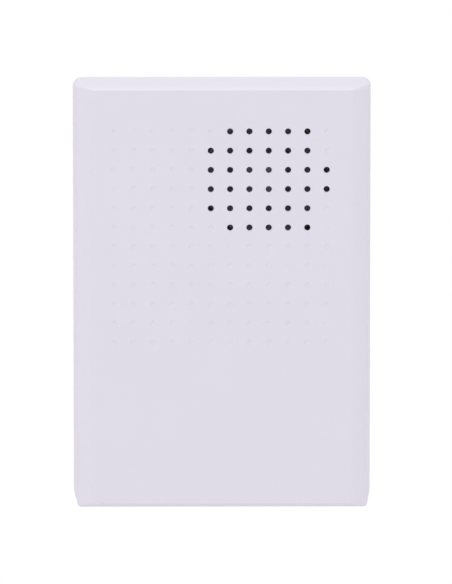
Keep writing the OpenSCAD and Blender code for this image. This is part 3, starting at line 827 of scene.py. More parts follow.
def laminate(name, tone):
    """Phenolic paper laminate: long fibres under a dull resin."""
    finish = Finish(name)
    fibres = finish.noise(0.5 * MM, 4.0, (0.12, 1.0, 1.0))
    return finish.surface(
        finish.vary(fibres, tone, 0.22), 0.42 + 0.15 * fibres, bump=fibres, depth=0.008 * MM
    )


def solder_mask(name, tone, spread=0.10):
    """Green lacquer over woven glass: the weave shows through as a faint check."""
    finish = Finish(name)
    weave = finish.waves(finish.axis(0), 0.8 * MM) * finish.waves(finish.axis(2), 0.8 * MM)
    cloud = finish.noise(9 * MM, 3.0)
    return finish.surface(
        finish.vary(0.5 * weave + 0.5 * cloud, tone, spread), 0.26 + 0.1 * cloud, bump=weave,
        depth=0.006 * MM, Coat_Weight=0.3,
    )


def printed(name, tone):
    """Screen-printed ink with thin spots."""
    finish = Finish(name)
    thin = finish.noise(0.35 * MM, 3.0)
    return finish.surface(finish.vary(thin, tone, 0.10), 0.6 + 0.1 * thin, bump=thin, depth=0.004 * MM)


def capacitor_skin(name, sleeve, stripe, metal):
    """Shrunk sleeve with a pale stripe down one side, and the can's scored bare end."""
    finish = Finish(name)
    local = finish.attribute("local", "Vector")
    bare = finish.attribute("bare")
    across, up = finish.axis(0, local), finish.axis(2, local)
    wrinkles = finish.noise(0.9 * MM, 3.0, (1.0, 0.25, 1.0))
    band = (abs(up) < 0.34) * (across < 0.0)
    score = ((abs(up) < 0.05) + (abs(across) < 0.05)).ramp(0.2, 0.6)
    skin = finish.mix(band * (1 - bare), finish.vary(wrinkles, sleeve, 0.14), stripe)
    end = finish.vary(finish.noise(0.2 * MM, 2.0, (1.0, 1.0, 0.1)), metal, 0.08)
    return finish.surface(
        finish.mix(bare, skin, end), 0.3 + 0.12 * wrinkles, bump=wrinkles * (1 - bare) - score * bare,
        depth=0.02 * MM, Metallic=bare,
    )


def ringed_lacquer(name, tone):
    """Beige lacquer with four colour rings, three of which differ from part to part."""
    finish = Finish(name)
    along = finish.attribute("along")
    number = finish.attribute("number")
    cloud = finish.noise(1.2 * MM, 3.0)
    tones = [
        linear(96, 56, 28), linear(176, 34, 30), linear(222, 120, 34), linear(226, 196, 48),
        linear(52, 116, 60), linear(44, 72, 150), linear(112, 62, 138), linear(44, 42, 42),
    ]
    last = linear(190, 150, 70)
    half_width, part_step, ring_step, start = 0.085, 0.377, 0.29, 0.13
    stops = [(i / len(tones), shade) for i, shade in enumerate(tones)]
    painted = finish.vary(cloud, tone, 0.08)
    for ring, position in enumerate((-0.62, -0.28, 0.04)):
        pick = (number * part_step + (ring_step * ring + start)).fraction()
        shade = finish.node("ShaderNodeValToRGB", {"stops": stops}, {"Fac": pick})
        painted = finish.mix(abs(along - position) < half_width, painted, shade)
    painted = finish.mix(abs(along - 0.62) < half_width, painted, last)
    return finish.surface(painted, 0.28 + 0.1 * cloud, bump=cloud, depth=0.015 * MM, Coat_Weight=0.5)


def banded_epoxy(name, tone):
    """Black moulding compound with a grey band at one end."""
    finish = Finish(name)
    band = abs(finish.attribute("along") - 0.66) < 0.16
    fine = finish.noise(0.12 * MM, 3.0)
    return finish.surface(
        finish.mix(band, finish.vary(fine, tone, 0.15), finish.vary(fine, linear(196, 196, 198), 0.06)),
        0.45 + 0.12 * fine, bump=fine, depth=0.008 * MM,
    )


def dipped(name, tone):
    """Dipped ceramic: glossy, darker where the coat runs thin."""
    finish = Finish(name)
    cloud = finish.noise(1.6 * MM, 3.0)
    fine = finish.noise(0.3 * MM, 3.0)
    return finish.surface(
        finish.vary(cloud, tone, 0.2), 0.22 + 0.16 * cloud, bump=fine, depth=0.02 * MM, Coat_Weight=0.4
    )


def insulation(name, tone):
    """Extruded insulation: soft sheen and faint lines along the wire."""
    finish = Finish(name)
    fine = finish.noise(0.3 * MM, 3.0, (1.0, 0.3, 0.2))
    return finish.surface(finish.vary(fine, tone, 0.12), 0.36 + 0.14 * fine, bump=fine, depth=0.01 * MM)


def floor_paper(name):
    """White floor that takes the box's shadow near by and fades into the white all round farther out."""
    finish = Finish(name)
    near, far, least = 0.35, 1.1, 0.4
    grain = finish.noise(1.5 * MM, 2.0)
    reach = finish.node("ShaderNodeVectorMath", {"operation": "LENGTH"}, {0: finish.point}, out="Value")
    matt = finish.node("ShaderNodeBsdfPrincipled", None, {
        "Base Color": finish.vary(grain, (0.9, 0.9, 0.9), 0.01), "Roughness": 0.9, "Specular IOR Level": 0.0,
    })
    glow = finish.node("ShaderNodeEmission", None, {"Color": WHITE, "Strength": 1.0})
    fade = finish.seen() * (least + (1 - least) * reach.ramp(near, far))
    both = finish.node("ShaderNodeMixShader", None, {0: fade, 1: matt, 2: glow})
    finish.node("ShaderNodeOutputMaterial", None, {"Surface": both})
    return finish.material


@cache
def finishes():
    """Every finish by the name of its slot in the record, made once from the colour settings."""
    group = bpy.context.scene.chime_colours
    tone = {key: tuple(getattr(group, key)) + (1.0,) for key in ColourSettings.__annotations__}
    return {
        "shell": moulded("shell plastic", tone["shell"], rough=0.5),
        "plate": moulded("plate plastic", tone["plate"], rough=0.46, grain=0.3, depth=0.006, mottle=0.02),
        "zinc_steel": plated("zinc-plated steel", tone["steel"]),
        "screw_steel": bright_screw("screw zinc", tone["screw"]),
        "ferrite": sintered("ferrite", tone["ferrite"]),
        "copper": winding("coil winding", tone["copper"]),
        "spider_cloth": pressed_cloth("spider cloth", tone["cloth"]),
        "cone_paper": pressed_paper("cone paper", tone["paper"]),
        "cap_paper": pressed_paper("cap paper", tone["cap"], rough=0.5, spread=0.18),
        "surround_rubber": rolled_rubber("surround rubber", tone["rubber"]),
        "gasket_foam": closed_foam("gasket foam", tone["foam"]),
        "phenolic": laminate("tag strip laminate", tone["phenolic"]),
        "tinned_brass": tinned_brass("tinned brass", tone["brass"], tone["tin"]),
        "tinned_wire": tinned("tinned wire", tone["tin"]),
        "board": solder_mask("solder mask", tone["board"]),
        "tracks": solder_mask("masked tracks", tuple(min(1.0, 1.7 * c) for c in tone["board"]), 0.06),
        "legend": printed("printed outlines", tone["legend"]),
        "epoxy": moulded("part epoxy", tone["epoxy"], rough=0.5, grain=0.12, depth=0.008, mottle=0.15),
        "banded_epoxy": banded_epoxy("diode epoxy", tone["epoxy"]),
        "can_sleeve": capacitor_skin("can sleeve", tone["sleeve"], tone["stripe"], tone["tin"]),
        "ceramic_disc": dipped("dipped ceramic", tone["disc"]),
        "resistor_lacquer": ringed_lacquer("resistor lacquer", tone["lacquer"]),
        "trimmer_blue": moulded("trimmer plastic", tone["trimmer"], rough=0.32, mottle=0.05),
        "trimmer_white": moulded("rotor plastic", tone["rotor"], rough=0.38, mottle=0.03),
        "terminal_green": moulded("terminal plastic", tone["terminal"], rough=0.34, mottle=0.05),
        "plug_nylon": moulded("plug nylon", tone["plug"], rough=0.45, mottle=0.03, Subsurface_Weight=0.1),
        "wire_red": insulation("red insulation", tone["red"]),
        "wire_black": insulation("black insulation", tone["black"]),
    }


# Cover


def cover_outline(half_w, half_h, radius, out):
    """A rectangle with round corners, as a ring of points at one distance from the wall."""
    ring, steps = [], 10
    for quarter, (side, end) in enumerate(((1, 1), (-1, 1), (-1, -1), (1, -1))):
        for i in range(steps + 1):
            a = math.radians(90 * (quarter + i / steps))
            x = side * (half_w - radius) + radius * math.cos(a)
            ring.append(place(x, end * (half_h - radius) + radius * math.sin(a), out))
    return ring


def cover_blank(s):
    """The cover's outside as a closed form: rim, leaning walls and rounded shoulders up to the flat front."""
    half_w, half_h = s["width"] / 2, s["height"] / 2
    edge, tip = 0.35, 0.2
    # Angles up the shoulder, in degrees: one near its foot, then even steps to the front
    foot, start, steps = 2.0, 4.9, 16
    rings = [
        cover_outline(half_w - inset, half_h - inset, s["corner"] - inset, s["rim"] + rise)
        for inset, rise in ((edge, 0.0), (0.1, 0.1), (0.0, edge), (0.0, s["rim_land"]))
    ]
    flat_w = half_w - s["side_draft"] - s["side_round"]
    flat_h = half_h - s["end_draft"] - s["end_round"]
    for degrees in (foot, *(start + (90 - start) * i / steps for i in range(steps + 1))):
        angle = math.radians(degrees)
        spread = max(math.cos(angle), 0.0) ** s["flatness"]
        rise = math.sin(angle) ** s["flatness"]
        rings.append(cover_outline(
            flat_w + s["side_round"] * spread, flat_h + s["end_round"] * spread,
            max(s["front_corner"] * spread, tip), s["front"] - s["round_depth"] * (1 - rise),
        ))
    return loft("cover_shell", rings)


def cover_hollow(s):
    """What is taken out of the blank: the tapering inside with its chamfers, and the catch's window."""
    half_w, half_h = s["width"] / 2 - s["wall"], s["height"] / 2 - s["wall"]
    slope = s["side_draft"] / (s["front"] - s["round_depth"] - s["rim"])
    ceiling = s["front"] - s["wall"]
    shoulder = ceiling - s["chamfer"]
    shoulder_w = half_w - slope * (shoulder - s["rim"])
    flat_h = half_h - s["end_chamfer"]
    rings = []
    for y, drop in ((-half_h, s["end_chamfer"]), (-flat_h, 0.0), (flat_h, 0.0), (half_h, s["end_chamfer"])):
        side = [
            (half_w + slope * s["rim"], 0.0), (shoulder_w, shoulder),
            (shoulder_w - s["chamfer"] + drop, ceiling - drop),
        ]
        rings.append([place(x, y, z) for x, z in side] + [place(-x, y, z) for x, z in reversed(side)])
    hollow = bevelled(loft("hollow", rings), 0.4, 3)
    catch = extent("catch_tongue")
    nose, clear, past = 8.4, 0.3, 1.0
    window = block(
        "window", (catch.left - clear, -s["height"] / 2 - past, nose - clear),
        (catch.right + clear, past - half_h, catch.front + clear),
    )
    return hollow, window


def cover_ribs(s):
    """The ring that meets the gasket and the two hinge beads, inside the cover."""
    outer, _, gasket_top = round_node("speaker_gasket")
    inner = outer - GASKET_WIDTH
    root = s["front"] - s["wall"] + 1.0
    gap, edge = 0.3, 0.2
    foot = gasket_top + gap
    ring = turned("rib", [
        (outer, root), (outer, foot + edge), (outer - edge, foot), (inner + edge, foot), (inner, foot + edge),
        (inner, root),
    ], *SPEAKER, looped=True, steps=FINE_STEPS)
    hinge = next(joint["pos_m"] for joint in frame["joints"] if joint["name"] == "cover_hinge")
    spread, half, radius = 26.0, 5.0, 1.0
    beads = []
    for x in (-spread, spread):
        bead = turned_across("bead", [
            (0.0, -half), (radius - edge, -half), (radius, edge - half), (radius, half - edge),
            (radius - edge, half), (0.0, half),
        ])
        bead.data.transform(Matrix.Translation((x * MM, hinge[1], hinge[2])))
        beads.append(bead)
    return join(ring, *beads)


def grille_cutters(g):
    """The two cutters of the dimple field, each about its own mouth at the origin."""
    radius, mouth = g["hole"] / 2, g["mouth"]
    above, below, brim = 0.6, 3.0, 0.03
    lip = [(0.0, above), (radius + mouth, above)] + arc(radius + mouth, -mouth, mouth, 90, 180, 4)
    hole = turned("hole", lip + [(radius, -below), (0.0, -below)], steps=SMALL_STEPS)
    ball = (radius * radius + g["dimple"] ** 2) / (2 * g["dimple"])
    start = -math.degrees(math.asin((ball - g["dimple"] - brim) / ball))
    dish = arc(0.0, ball - g["dimple"], ball, start, -90, 6)
    dimple = turned("dimple", [(0.0, above), (dish[0][0], above)] + dish, steps=SMALL_STEPS)
    return hole, dimple


def perforation_tree():
    """Hollows a blank, adds its ribs, and cuts a square field of dimples with a round patch of holes."""
    tree = GeometryTree("Perforated cover", {
        "Hollow": "Object", "Window": "Object", "Ribs": "Object", "Hole": "Object", "Dimple": "Object",
        "Pitch": "Float", "Count": "Int", "Field Centre": "Vector", "Patch Centre": "Vector",
        "Patch Radius": "Float", "Material": "Material",
    })
    span = (tree.input("Count") - 1.0) * tree.input("Pitch")
    field = tree.node("GeometryNodeMeshGrid", None, {
        "Size X": span, "Size Y": span, "Vertices X": tree.input("Count"), "Vertices Y": tree.input("Count"),
    })
    field = tree.node("GeometryNodeTransform", None, {
        "Geometry": field, "Translation": tree.input("Field Centre"), "Rotation": (math.pi / 2, 0.0, 0.0),
    })
    reach = tree.node("ShaderNodeVectorMath", {"operation": "DISTANCE"}, {
        0: tree.node("GeometryNodeInputPosition"), 1: tree.input("Patch Centre"),
    }, out="Value")
    pierced = reach < tree.input("Patch Radius")
    cutters = [
        tree.node("GeometryNodeRealizeInstances", None, {
            "Geometry": tree.node("GeometryNodeInstanceOnPoints", None, {
                "Points": field, "Selection": chosen, "Instance": tree.part(label),
            }),
        })
        for label, chosen in (("Hole", pierced), ("Dimple", 1.0 - pierced))
    ]
    hollowed = tree.node("GeometryNodeMeshBoolean", {"operation": "DIFFERENCE", "solver": "EXACT"}, {
        "Mesh 1": tree.input("Geometry"), "Mesh 2": [tree.part("Hollow"), tree.part("Window")],
    })
    ribbed = tree.node("GeometryNodeMeshBoolean", {"operation": "UNION", "solver": "EXACT"}, {
        "Mesh 2": [hollowed, tree.part("Ribs")],
    })
    tree.close(tree.node("GeometryNodeMeshBoolean", {"operation": "DIFFERENCE", "solver": "EXACT"}, {
        "Mesh 1": ribbed, "Mesh 2": cutters,
    }))
    return tree


class CHIME_OT_cover(Operator):
    """Builds the moulded cover with its dimple field and loudspeaker grille"""

    bl_idname = "chime.cover"
    bl_label = "Cover"

    def execute(self, context):
        s, g = sizes(context.scene.chime_cover), sizes(context.scene.chime_grille)
        half_field = (g["count"] - 1) * g["pitch"] / 2
        hollow, window = cover_hollow(s)
        ribs = cover_ribs(s)
        hole, dimple = grille_cutters(g)
        cover = cover_blank(s)
        perforation_tree().make(cover, {
            "Hollow": hollow, "Window": window, "Ribs": ribs, "Hole": hole, "Dimple": dimple,
            "Pitch": g["pitch"] * MM, "Count": g["count"],
            "Field Centre": place(g["shift"], s["height"] / 2 - g["top"] - half_field, s["front"]),
            "Patch Centre": place(*SPEAKER, s["front"]), "Patch Radius": g["patch"] * MM,
            "Material": finishes()["shell"],
        })
        discard(hollow, window, ribs, hole, dimple)
        smooth(cover, 32, weighted=True)
        fit(cover, "cover", "shell", "front_cover")
        return {"FINISHED"}


# Loudspeaker


def cone_shell(ribs):
    """Closed profile of the paper cone: neck, pressed ribs and the flat lip under the surround."""
    lip, neck, front = round_node("speaker_cone")
    inner = round_node("voice_coil")[0] + COIL_GAP
    thick, lip_width, dent, per_rib = 0.4, 1.25, 0.12, 10
    edge = lip - lip_width
    steps = max(1, ribs) * per_rib
    face = []
    for i in range(steps + 1):
        t = i / steps
        sink = dent * math.sin(math.pi * ribs * t) ** 2
        face.append((inner + t * (edge - inner), neck + thick + t * (front - neck - thick) - sink))
    face.append((lip, front))
    return face + [(r, out - thick) for r, out in reversed(face)]


def cap_shell(radius, rise):
    """Closed profile of the domed dust cap with a small rolled edge."""
    thick = 0.35
    base = round_node("dust_cap")[1]
    ball = (radius * radius + rise * rise) / (2 * rise)
    centre = base + rise - ball
    start = math.degrees(math.asin((base - centre) / ball))
    outer = arc(0.0, centre, ball, start, 90, 20)
    inner = [(r * (ball - thick) / ball, centre + (out - centre) * (ball - thick) / ball) for r, out in outer]
    edge = [(radius - 0.02, base + 0.06), (radius - 0.2, base + 0.01)]
    return outer + [p for p in reversed(inner) if p[1] > base + 0.02] + edge[::-1]


def surround_shell(roll, wall):
    """Closed profile of the surround: a half roll and the flat lip bonded to the frame."""
    lip, seat, _ = round_node("speaker_surround")
    top = seat + 0.3
    middle = round_node("speaker_cone")[0] + roll - wall
    outer = arc(middle, seat, roll, 180, 16, 22)
    fillet = [(middle + roll + 0.06, top + 0.03), (middle + roll + 0.2, top)]
    rim = [(lip - 0.1, top), (lip, top - 0.1), (lip, seat), (middle + roll - wall, seat)]
    return outer + fillet + rim + arc(middle, seat, roll - wall, 0, 180, 22)[1:]


def spider_shell():
    """Closed profile of the corrugated spider, its folds rounded."""
    out_r, floor, _ = round_node("speaker_spider")
    inner = round_node("voice_coil")[0] + COIL_GAP
    thick, crest, folds, steps = 0.3, 0.8, 6, 8
    start = out_r - SPIDER_GLUE
    knots = [(out_r, floor), (start, floor)] + [
        (start - (start - inner) * i / folds, floor + (crest if i % 2 else crest / 3))
        for i in range(1, folds + 1)
    ]
    low = [knots[0]]
    for (r0, z0), (r1, z1) in zip(knots[1:], knots[2:]):
        for i in range(steps):
            ease = (1 - math.cos(math.pi * i / steps)) / 2
            low.append((r0 + (r1 - r0) * i / steps, z0 + (z1 - z0) * ease))
    low.append(knots[-1])
    return low + [(r, z + thick) for r, z in reversed(low)]


def flex(piece, fixed, moving):
    """Lets a ring flex: it stays with the frame outside one radius and with the cone inside the other."""
    centre = place(*SPEAKER, 0.0)
    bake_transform(piece, "base", "diaphragm", start=centre, end=centre + Vector((fixed * MM, 0.0, 0.0)))
    for vertex, item in zip(piece.data.vertices, piece.data.attributes["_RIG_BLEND"].data):
        radius = math.hypot(vertex.co.x - centre.x, vertex.co.z - centre.z) / MM
        t = min(1.0, max(0.0, (fixed - radius) / (fixed - moving)))
        item.value = t * t * (3 - 2 * t)


def speaker_ring(name, profile, finish, angle, steps=ROUND_STEPS):
    """A closed profile turned about the loudspeaker's axis, with its finish."""
    ring = turned(name, profile, *SPEAKER, looped=True, steps=steps)
    return smooth(wear(ring, finishes()[finish]), angle)


class CHIME_OT_diaphragm(Operator):
    """Builds the paper cone with its pressed ribs and the domed dust cap"""

    bl_idname = "chime.diaphragm"
    bl_label = "Cone and dust cap"

    def execute(self, context):
        s = sizes(context.scene.chime_speaker)
        cone = speaker_ring("paper_cone", cone_shell(s["cone_ribs"]), "cone_paper", 60)
        fit(cone, "diaphragm", "cone_paper", "speaker_cone")
        cap = speaker_ring("domed_cap", cap_shell(s["cap_radius"], s["cap_rise"]), "cap_paper", 50)
        fit(cap, "diaphragm", "cap_paper", "dust_cap")
        return {"FINISHED"}


class CHIME_OT_suspension(Operator):
    """Builds the rolled surround and the corrugated spider that carry the cone"""

    bl_idname = "chime.suspension"
    bl_label = "Surround and spider"

    def execute(self, context):
        s = sizes(context.scene.chime_speaker)
        roll, wall, lip = s["roll"], s["roll_wall"], round_node("speaker_cone")[0]
        surround = speaker_ring("rolled_surround", surround_shell(roll, wall), "surround_rubber", 50)
        flex(surround, lip + 2 * (roll - wall), lip - wall)
        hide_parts("speaker_surround")
        spider = speaker_ring("corrugated_spider", spider_shell(), "spider_cloth", 60)
        flex(spider, round_node("speaker_spider")[0] - SPIDER_GLUE, round_node("voice_coil")[0] + COIL_GAP)
        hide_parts("speaker_spider")
        return {"FINISHED"}


class CHIME_OT_gasket(Operator):
    """Builds the foam ring that seals the loudspeaker against the cover"""

    bl_idname = "chime.gasket"
    bl_label = "Foam gasket"

    def execute(self, context):
        outer, seat, top = round_node("speaker_gasket")
        inner, edge, sag, waist = outer - GASKET_WIDTH, 0.3, 0.04, (seat + top) / 2
        profile = (
            arc(outer - edge, top - edge, edge, 0, 90, 4) + arc(inner + edge, top - edge, edge, 90, 180, 4)
            + [(inner + sag, waist), (inner, seat), (outer, seat), (outer - sag, waist)]
        )
        gasket = speaker_ring("foam_gasket", profile, "gasket_foam", 50, FINE_STEPS)
        fit(gasket, "base", "gasket_foam", "speaker_gasket")
        return {"FINISHED"}


def lead_tree():
    """Sweeps a round insulated wire along a line."""
    tree = GeometryTree("Insulated lead", {"Radius": "Float", "Material": "Material"})
    circle = tree.node("GeometryNodeCurvePrimitiveCircle", None, {
        "Resolution": 16, "Radius": tree.input("Radius"),
    })
    tree.sweep(tree.lines(), circle)
    return tree


def lead_route(side, steps=40):
    """The way of one lead: out of its solder tag, round in an S and into the plug."""
    tags, plug = extent("speaker_tags"), extent("lead_plug")
    start = place(SPEAKER[0] + side * TAG_SPAN / 2, tags.bottom, (tags.back + tags.front) / 2)
    end = place((plug.left + plug.right) / 2 + side * PLUG_PITCH / 2, plug.top, BOARD.front + PLUG_RISE)
    reach = place(0.0, 7.0, 0.0)
    return interpolate_bezier(start, start - reach, end + reach, end, steps + 1)


class CHIME_OT_leads(Operator):
    """Sweeps the two short loudspeaker leads from their solder tags to the plug"""

    bl_idname = "chime.leads"
    bl_label = "Loudspeaker leads"

    def execute(self, context):
        tree = lead_tree()
        radius = context.scene.chime_speaker.lead / 2
        for shade, side in (("red", 1), ("black", -1)):
            lead = lines_object("lead_" + shade, [lead_route(side)])
            tree.make(lead, {"Radius": radius, "Material": finishes()["wire_" + shade]})
            fit(smooth(lead, 50), "base", "wire_" + shade, "speaker_lead_" + shade)
        return {"FINISHED"}


# Fasteners and parts that repeat


@cache
def scatter_tree():
    """Stands one numbered part on every point, each turned by chance about the axis out from the wall."""
    tree = GeometryTree("Repeated part", {
        "Part": "Object", "Turn": "Float", "Seed": "Int", "Material": "Material",
    })
    turn = tree.node("FunctionNodeRandomValue", {"data_type": "FLOAT"}, {
        2: 0.0, 3: tree.input("Turn"), 8: tree.input("Seed"),
    }, out=1)
    euler = tree.node("ShaderNodeCombineXYZ", None, {"Y": turn})
    placed = tree.node("GeometryNodeInstanceOnPoints", None, {
        "Points": tree.input("Geometry"), "Instance": tree.part("Part"),
        "Rotation": tree.node("FunctionNodeEulerToRotation", None, {0: euler}),
    })
    tree.close(tree.node("GeometryNodeStoreNamedAttribute", {"data_type": "FLOAT", "domain": "INSTANCE"}, {
        "Geometry": placed, "Name": "number", "Value": tree.node("GeometryNodeInputIndex"),
    }))
    return tree


def repeat(name, part, points, slot, *nodes, finish=None, angle=35.0, turn=0.0):
    """Fits one piece made of a part that stands on every point; the part itself is removed."""
    obj = points_object(name, points)
    scatter_tree().make(obj, {
        "Part": part, "Turn": turn, "Seed": SEED, "Material": finishes()[finish or slot],
    })
    discard(part)
    fit(smooth(obj, angle), "base", slot, *nodes)


def post_points():
    """The four loudspeaker posts, across and up."""
    gap, spigot = 0.2, 3.3
    reach = (BASKET.right - BASKET.left) / 2 + gap + spigot
    return [
        (SPEAKER[0] + reach * math.cos(math.radians(a)), SPEAKER[1] + reach * math.sin(math.radians(a)))
        for a in (45, 135, 225, 315)
    ]


def board_screw_points():
    """The four screws near the board's corners, across and up."""
    inset = 4.0
    return [
        (x, y)
        for x in (BOARD.left + inset, BOARD.right - inset)
        for y in (BOARD.bottom + inset, BOARD.top - inset)
    ]


def pan_screw():
    """A pan-head screw about its seat at the origin: domed head, tapered cross recess and a plain shank."""
    head, height, shank, reach, tip, dome, edge = 2.6, 1.3, 1.4, 6.0, 0.8, 6.0, 0.5
    profile = [
        (0.0, -reach), (shank * 0.5, -reach), (shank, tip - reach), (shank, -0.05), (head - 0.15, 0.0),
        (head, 0.15),
    ]
    profile += arc(head - edge, height - 0.92, edge, 0, 62, 5) + arc(0.0, height - dome, dome, 68, 90, 6)
    screw = turned("screw", profile, steps=36)
    recess = ((0.75, 0.18, height - 0.75), (1.5, 0.32, height - 0.05), (1.55, 0.33, height + 1.0))
    for turn in (0.0, math.pi / 2):
        arm = loft("arm", [[place(x * w, y * h, z) for x, y in SQUARE] for w, h, z in recess])
        arm.data.transform(Matrix.Rotation(turn, 4, "Y"))
        subtract(screw, arm)
    return screw


class CHIME_OT_screws(Operator):
    """Places the pan-head screws and the loudspeaker's washers"""

    bl_idname = "chime.screws"
    bl_label = "Screws and washers"

    def execute(self, context):
        washers = extent("speaker_washers")
        seat, top = washers.back, washers.front
        for name, node, spots, level in (
            ("speaker_pan_screws", "speaker_screws", post_points(), top),
            ("board_pan_screws", "board_screws", board_screw_points(), BOARD.front),
        ):
            points = [place(x, y, level) for x, y in spots]
            repeat(name, pan_screw(), points, "screw_steel", node, turn=math.tau)
        outer, bore, edge = 5.0, 1.55, 0.15
        washer = turned("washer", [
            (outer - edge, seat), (outer, seat + edge), (outer, top - edge), (outer - edge, top),
            (bore + edge, top), (bore, top - edge), (bore, seat),
        ], looped=True, steps=48)
        points = [place(x, y, 0.0) for x, y in post_points()]
        repeat("clamp_washers", washer, points, "zinc_steel", "speaker_washers")
        return {"FINISHED"}


# Chime board: places are millimetres right and down from the board's upper left corner

AXIAL_PITCH = 4.6
AXIAL_SPAN = 10.0
RESISTORS = [
    (x, y + AXIAL_PITCH * i) for x, y, count in ((66.0, 33.0, 3), (12.0, 36.0, 2)) for i in range(count)
]
DIODES = [(12.0, 15.0 + AXIAL_PITCH * i) for i in range(4)]
CANS = (((30.0, 19.0), 10.0, 12.5), ((43.0, 24.0), 6.3, 8.0), ((29.0, 35.0), 5.0, 7.5))
DISCS = [(25.0, 43.0), (36.0, 44.0), (52.0, 19.0)]
TRANSISTORS = [(60.0, 23.0), (68.0, 23.0)]
CHIP = (47.0, 35.0)
CHIP_ROW = 3.83
TRIMMER = (66.0, 12.0)
PLUG = (44.0, 12.0)
PIN_PITCH = 2.54
LEG_PITCH = 1.27
DISC_LEG = 1.25


def on_board(spot, lift=0.0):
    """World point of a place on the board's face."""
    return place(BOARD.left + spot[0], BOARD.top - spot[1], BOARD.front + lift)


def axial_part(radius, half, waist):
    """The body of an axial part about its own middle; places along it are kept as an attribute."""
    edge, bend, neck, barrel = 0.45, 0.13, 0.62, 0.42
    end = [
        (0.0, half), (radius - edge, half), (radius - bend, half - bend), (radius, half - edge),
        (radius, half * neck), (waist, half * barrel),
    ]
    part = turned_across("axial part", [(r, -x) for r, x in end] + end[::-1])
    store(part, "along", lambda co: co.x / (half * MM))
    return part


class CHIME_OT_axial_parts(Operator):
    """Lays the ringed resistors and the banded diodes on the board"""

    bl_idname = "chime.axial_parts"
    bl_label = "Resistors and diodes"

    def execute(self, context):
        lift = 0.4
        for name, node, spots, radius, half, waist, slot, finish in (
            ("ringed_resistors", "resistors", RESISTORS, 1.2, 3.15, 1.02, "resistor_lacquer", None),
            ("banded_diodes", "rectifier_diodes", DIODES, 1.35, 2.6, 1.35, "epoxy", "banded_epoxy"),
        ):
            points = [on_board(spot, lift + radius) for spot in spots]
            repeat(name, axial_part(radius, half, waist), points, slot, node, finish=finish, angle=40)
        return {"FINISHED"}


def sleeved_can(name, spot, diameter, height):
    """An electrolytic capacitor: crimped foot, sleeve drawn over the shoulder and a bare end."""
    radius, groove, bare_end = diameter / 2, 0.35, 0.77
    profile = [
        (0.0, 0.0), (radius - groove, 0.0), (radius, groove), (radius, 1.0), (radius - 0.12, 1.2),
        (radius - groove, 1.5), (radius - 0.12, 1.8), (radius, 2.0), (radius, height - 0.5),
        (radius - 0.1, height - 0.2), (radius - 0.3, height - 0.04), (radius - 0.5, height),
        (radius * 0.78, height - 0.02), (radius * 0.76, height - 0.12), (radius * 0.4, height - 0.12),
        (0.0, height - 0.12),
    ]
    foot = on_board(spot)
    can = turned(name, [(r, BOARD.front + z) for r, z in profile], foot.x / MM, foot.z / MM, steps=48)

    def local(co):
        return (co.x - foot.x) / (radius * MM), 0.0, (co.z - foot.z) / (radius * MM)

    def bare(co):
        across, _, up = local(co)
        return float(co.y < foot.y - height / 2 * MM and math.hypot(across, up) < bare_end)

    store(can, "local", local, vector=True)
    store(can, "bare", bare)
    return can


def dipped_disc():
    """A dipped ceramic disc standing on its legs: a thick lens whose coat runs down the wires."""
    radius, half, lift, steps = 2.4, 0.9, 1.2, 32
    turns = [math.tau * k / steps for k in range(steps)]
    section = [(0.0, -half), (0.55, -half), (0.85, -0.72 * half), (1.0, -0.2 * half)]
    section += [(r, -y) for r, y in reversed(section)]
    disc = loft("disc", [
        [place(r * radius * math.cos(a), y, lift + radius + r * radius * math.sin(a)) for a in turns]
        for r, y in section
    ])
    run = [(0.0, 0.55), (0.34, 0.6), (0.5, 1.1), (0.75, 2.0), (0.0, 2.2)]
    return join(disc, *(turned("run", run, side * DISC_LEG, steps=16) for side in (-1, 1)))


class CHIME_OT_capacitors(Operator):
    """Stands the sleeved electrolytic capacitors and the dipped ceramic discs on the board"""

    bl_idname = "chime.capacitors"
    bl_label = "Capacitors"

    def execute(self, context):
        first, second, third = (
            sleeved_can(name, *can) for name, can in zip(("reservoir_can", "small_cans", "third can"), CANS)
        )
        join_with_attributes(second, third)
        for piece, node in ((first, "reservoir_capacitor"), (second, "small_capacitors")):
            fit(smooth(wear(piece, finishes()["can_sleeve"]), 40), "base", "can_sleeve", node)
        points = [on_board(spot) for spot in DISCS]
        repeat("ceramic_discs", dipped_disc(), points, "ceramic_disc", "ceramic_capacitors", angle=60)
        return {"FINISHED"}


def solder_feet():
    """Every place where a part's wire meets the board's face."""
    feet = [(x + side * AXIAL_SPAN / 2, y) for x, y in RESISTORS + DIODES for side in (-1, 1)]
    feet += [(x + side * DISC_LEG, y) for x, y in DISCS for side in (-1, 1)]
    feet += [(x + i * LEG_PITCH, y) for x, y in TRANSISTORS for i in (-1, 0, 1)]
    feet += [
        (CHIP[0] + (i - 1.5) * PIN_PITCH, CHIP[1] + side * CHIP_ROW) for i in range(4) for side in (-1, 1)
    ]
    return feet


def outline(spot, half_w, half_h):
    """A printed rectangle round a part."""
    return [(spot[0] + x * half_w, spot[1] + y * half_h) for x, y in (*SQUARE, SQUARE[0])]


def ringed(spot, radius, steps=32):
    """A printed circle round a part."""
    return [
        (spot[0] + radius * math.cos(math.tau * (k % steps) / steps),
         spot[1] + radius * math.sin(math.tau * (k % steps) / steps))
        for k in range(steps + 1)
    ]


def legend_lines():
    """The printed outlines round the board's parts."""
    lines = [outline(spot, 3.5, 1.6) for spot in RESISTORS]
    lines += [outline(spot, 3.0, 1.75) for spot in DIODES]
    lines += [outline(spot, 2.9, 1.3) for spot in DISCS]
    lines += [ringed(spot, d / 2 + 0.5) for spot, d, _ in CANS] + [ringed(spot, 2.75) for spot in TRANSISTORS]
    lines += [outline(CHIP, 5.4, 4.9), outline(TRIMMER, 3.9, 3.9), outline(PLUG, 4.4, 3.6)]
    return lines + [[(8.2, 0.6), (8.2, 9.7), (19.8, 9.7), (19.8, 0.6)]]


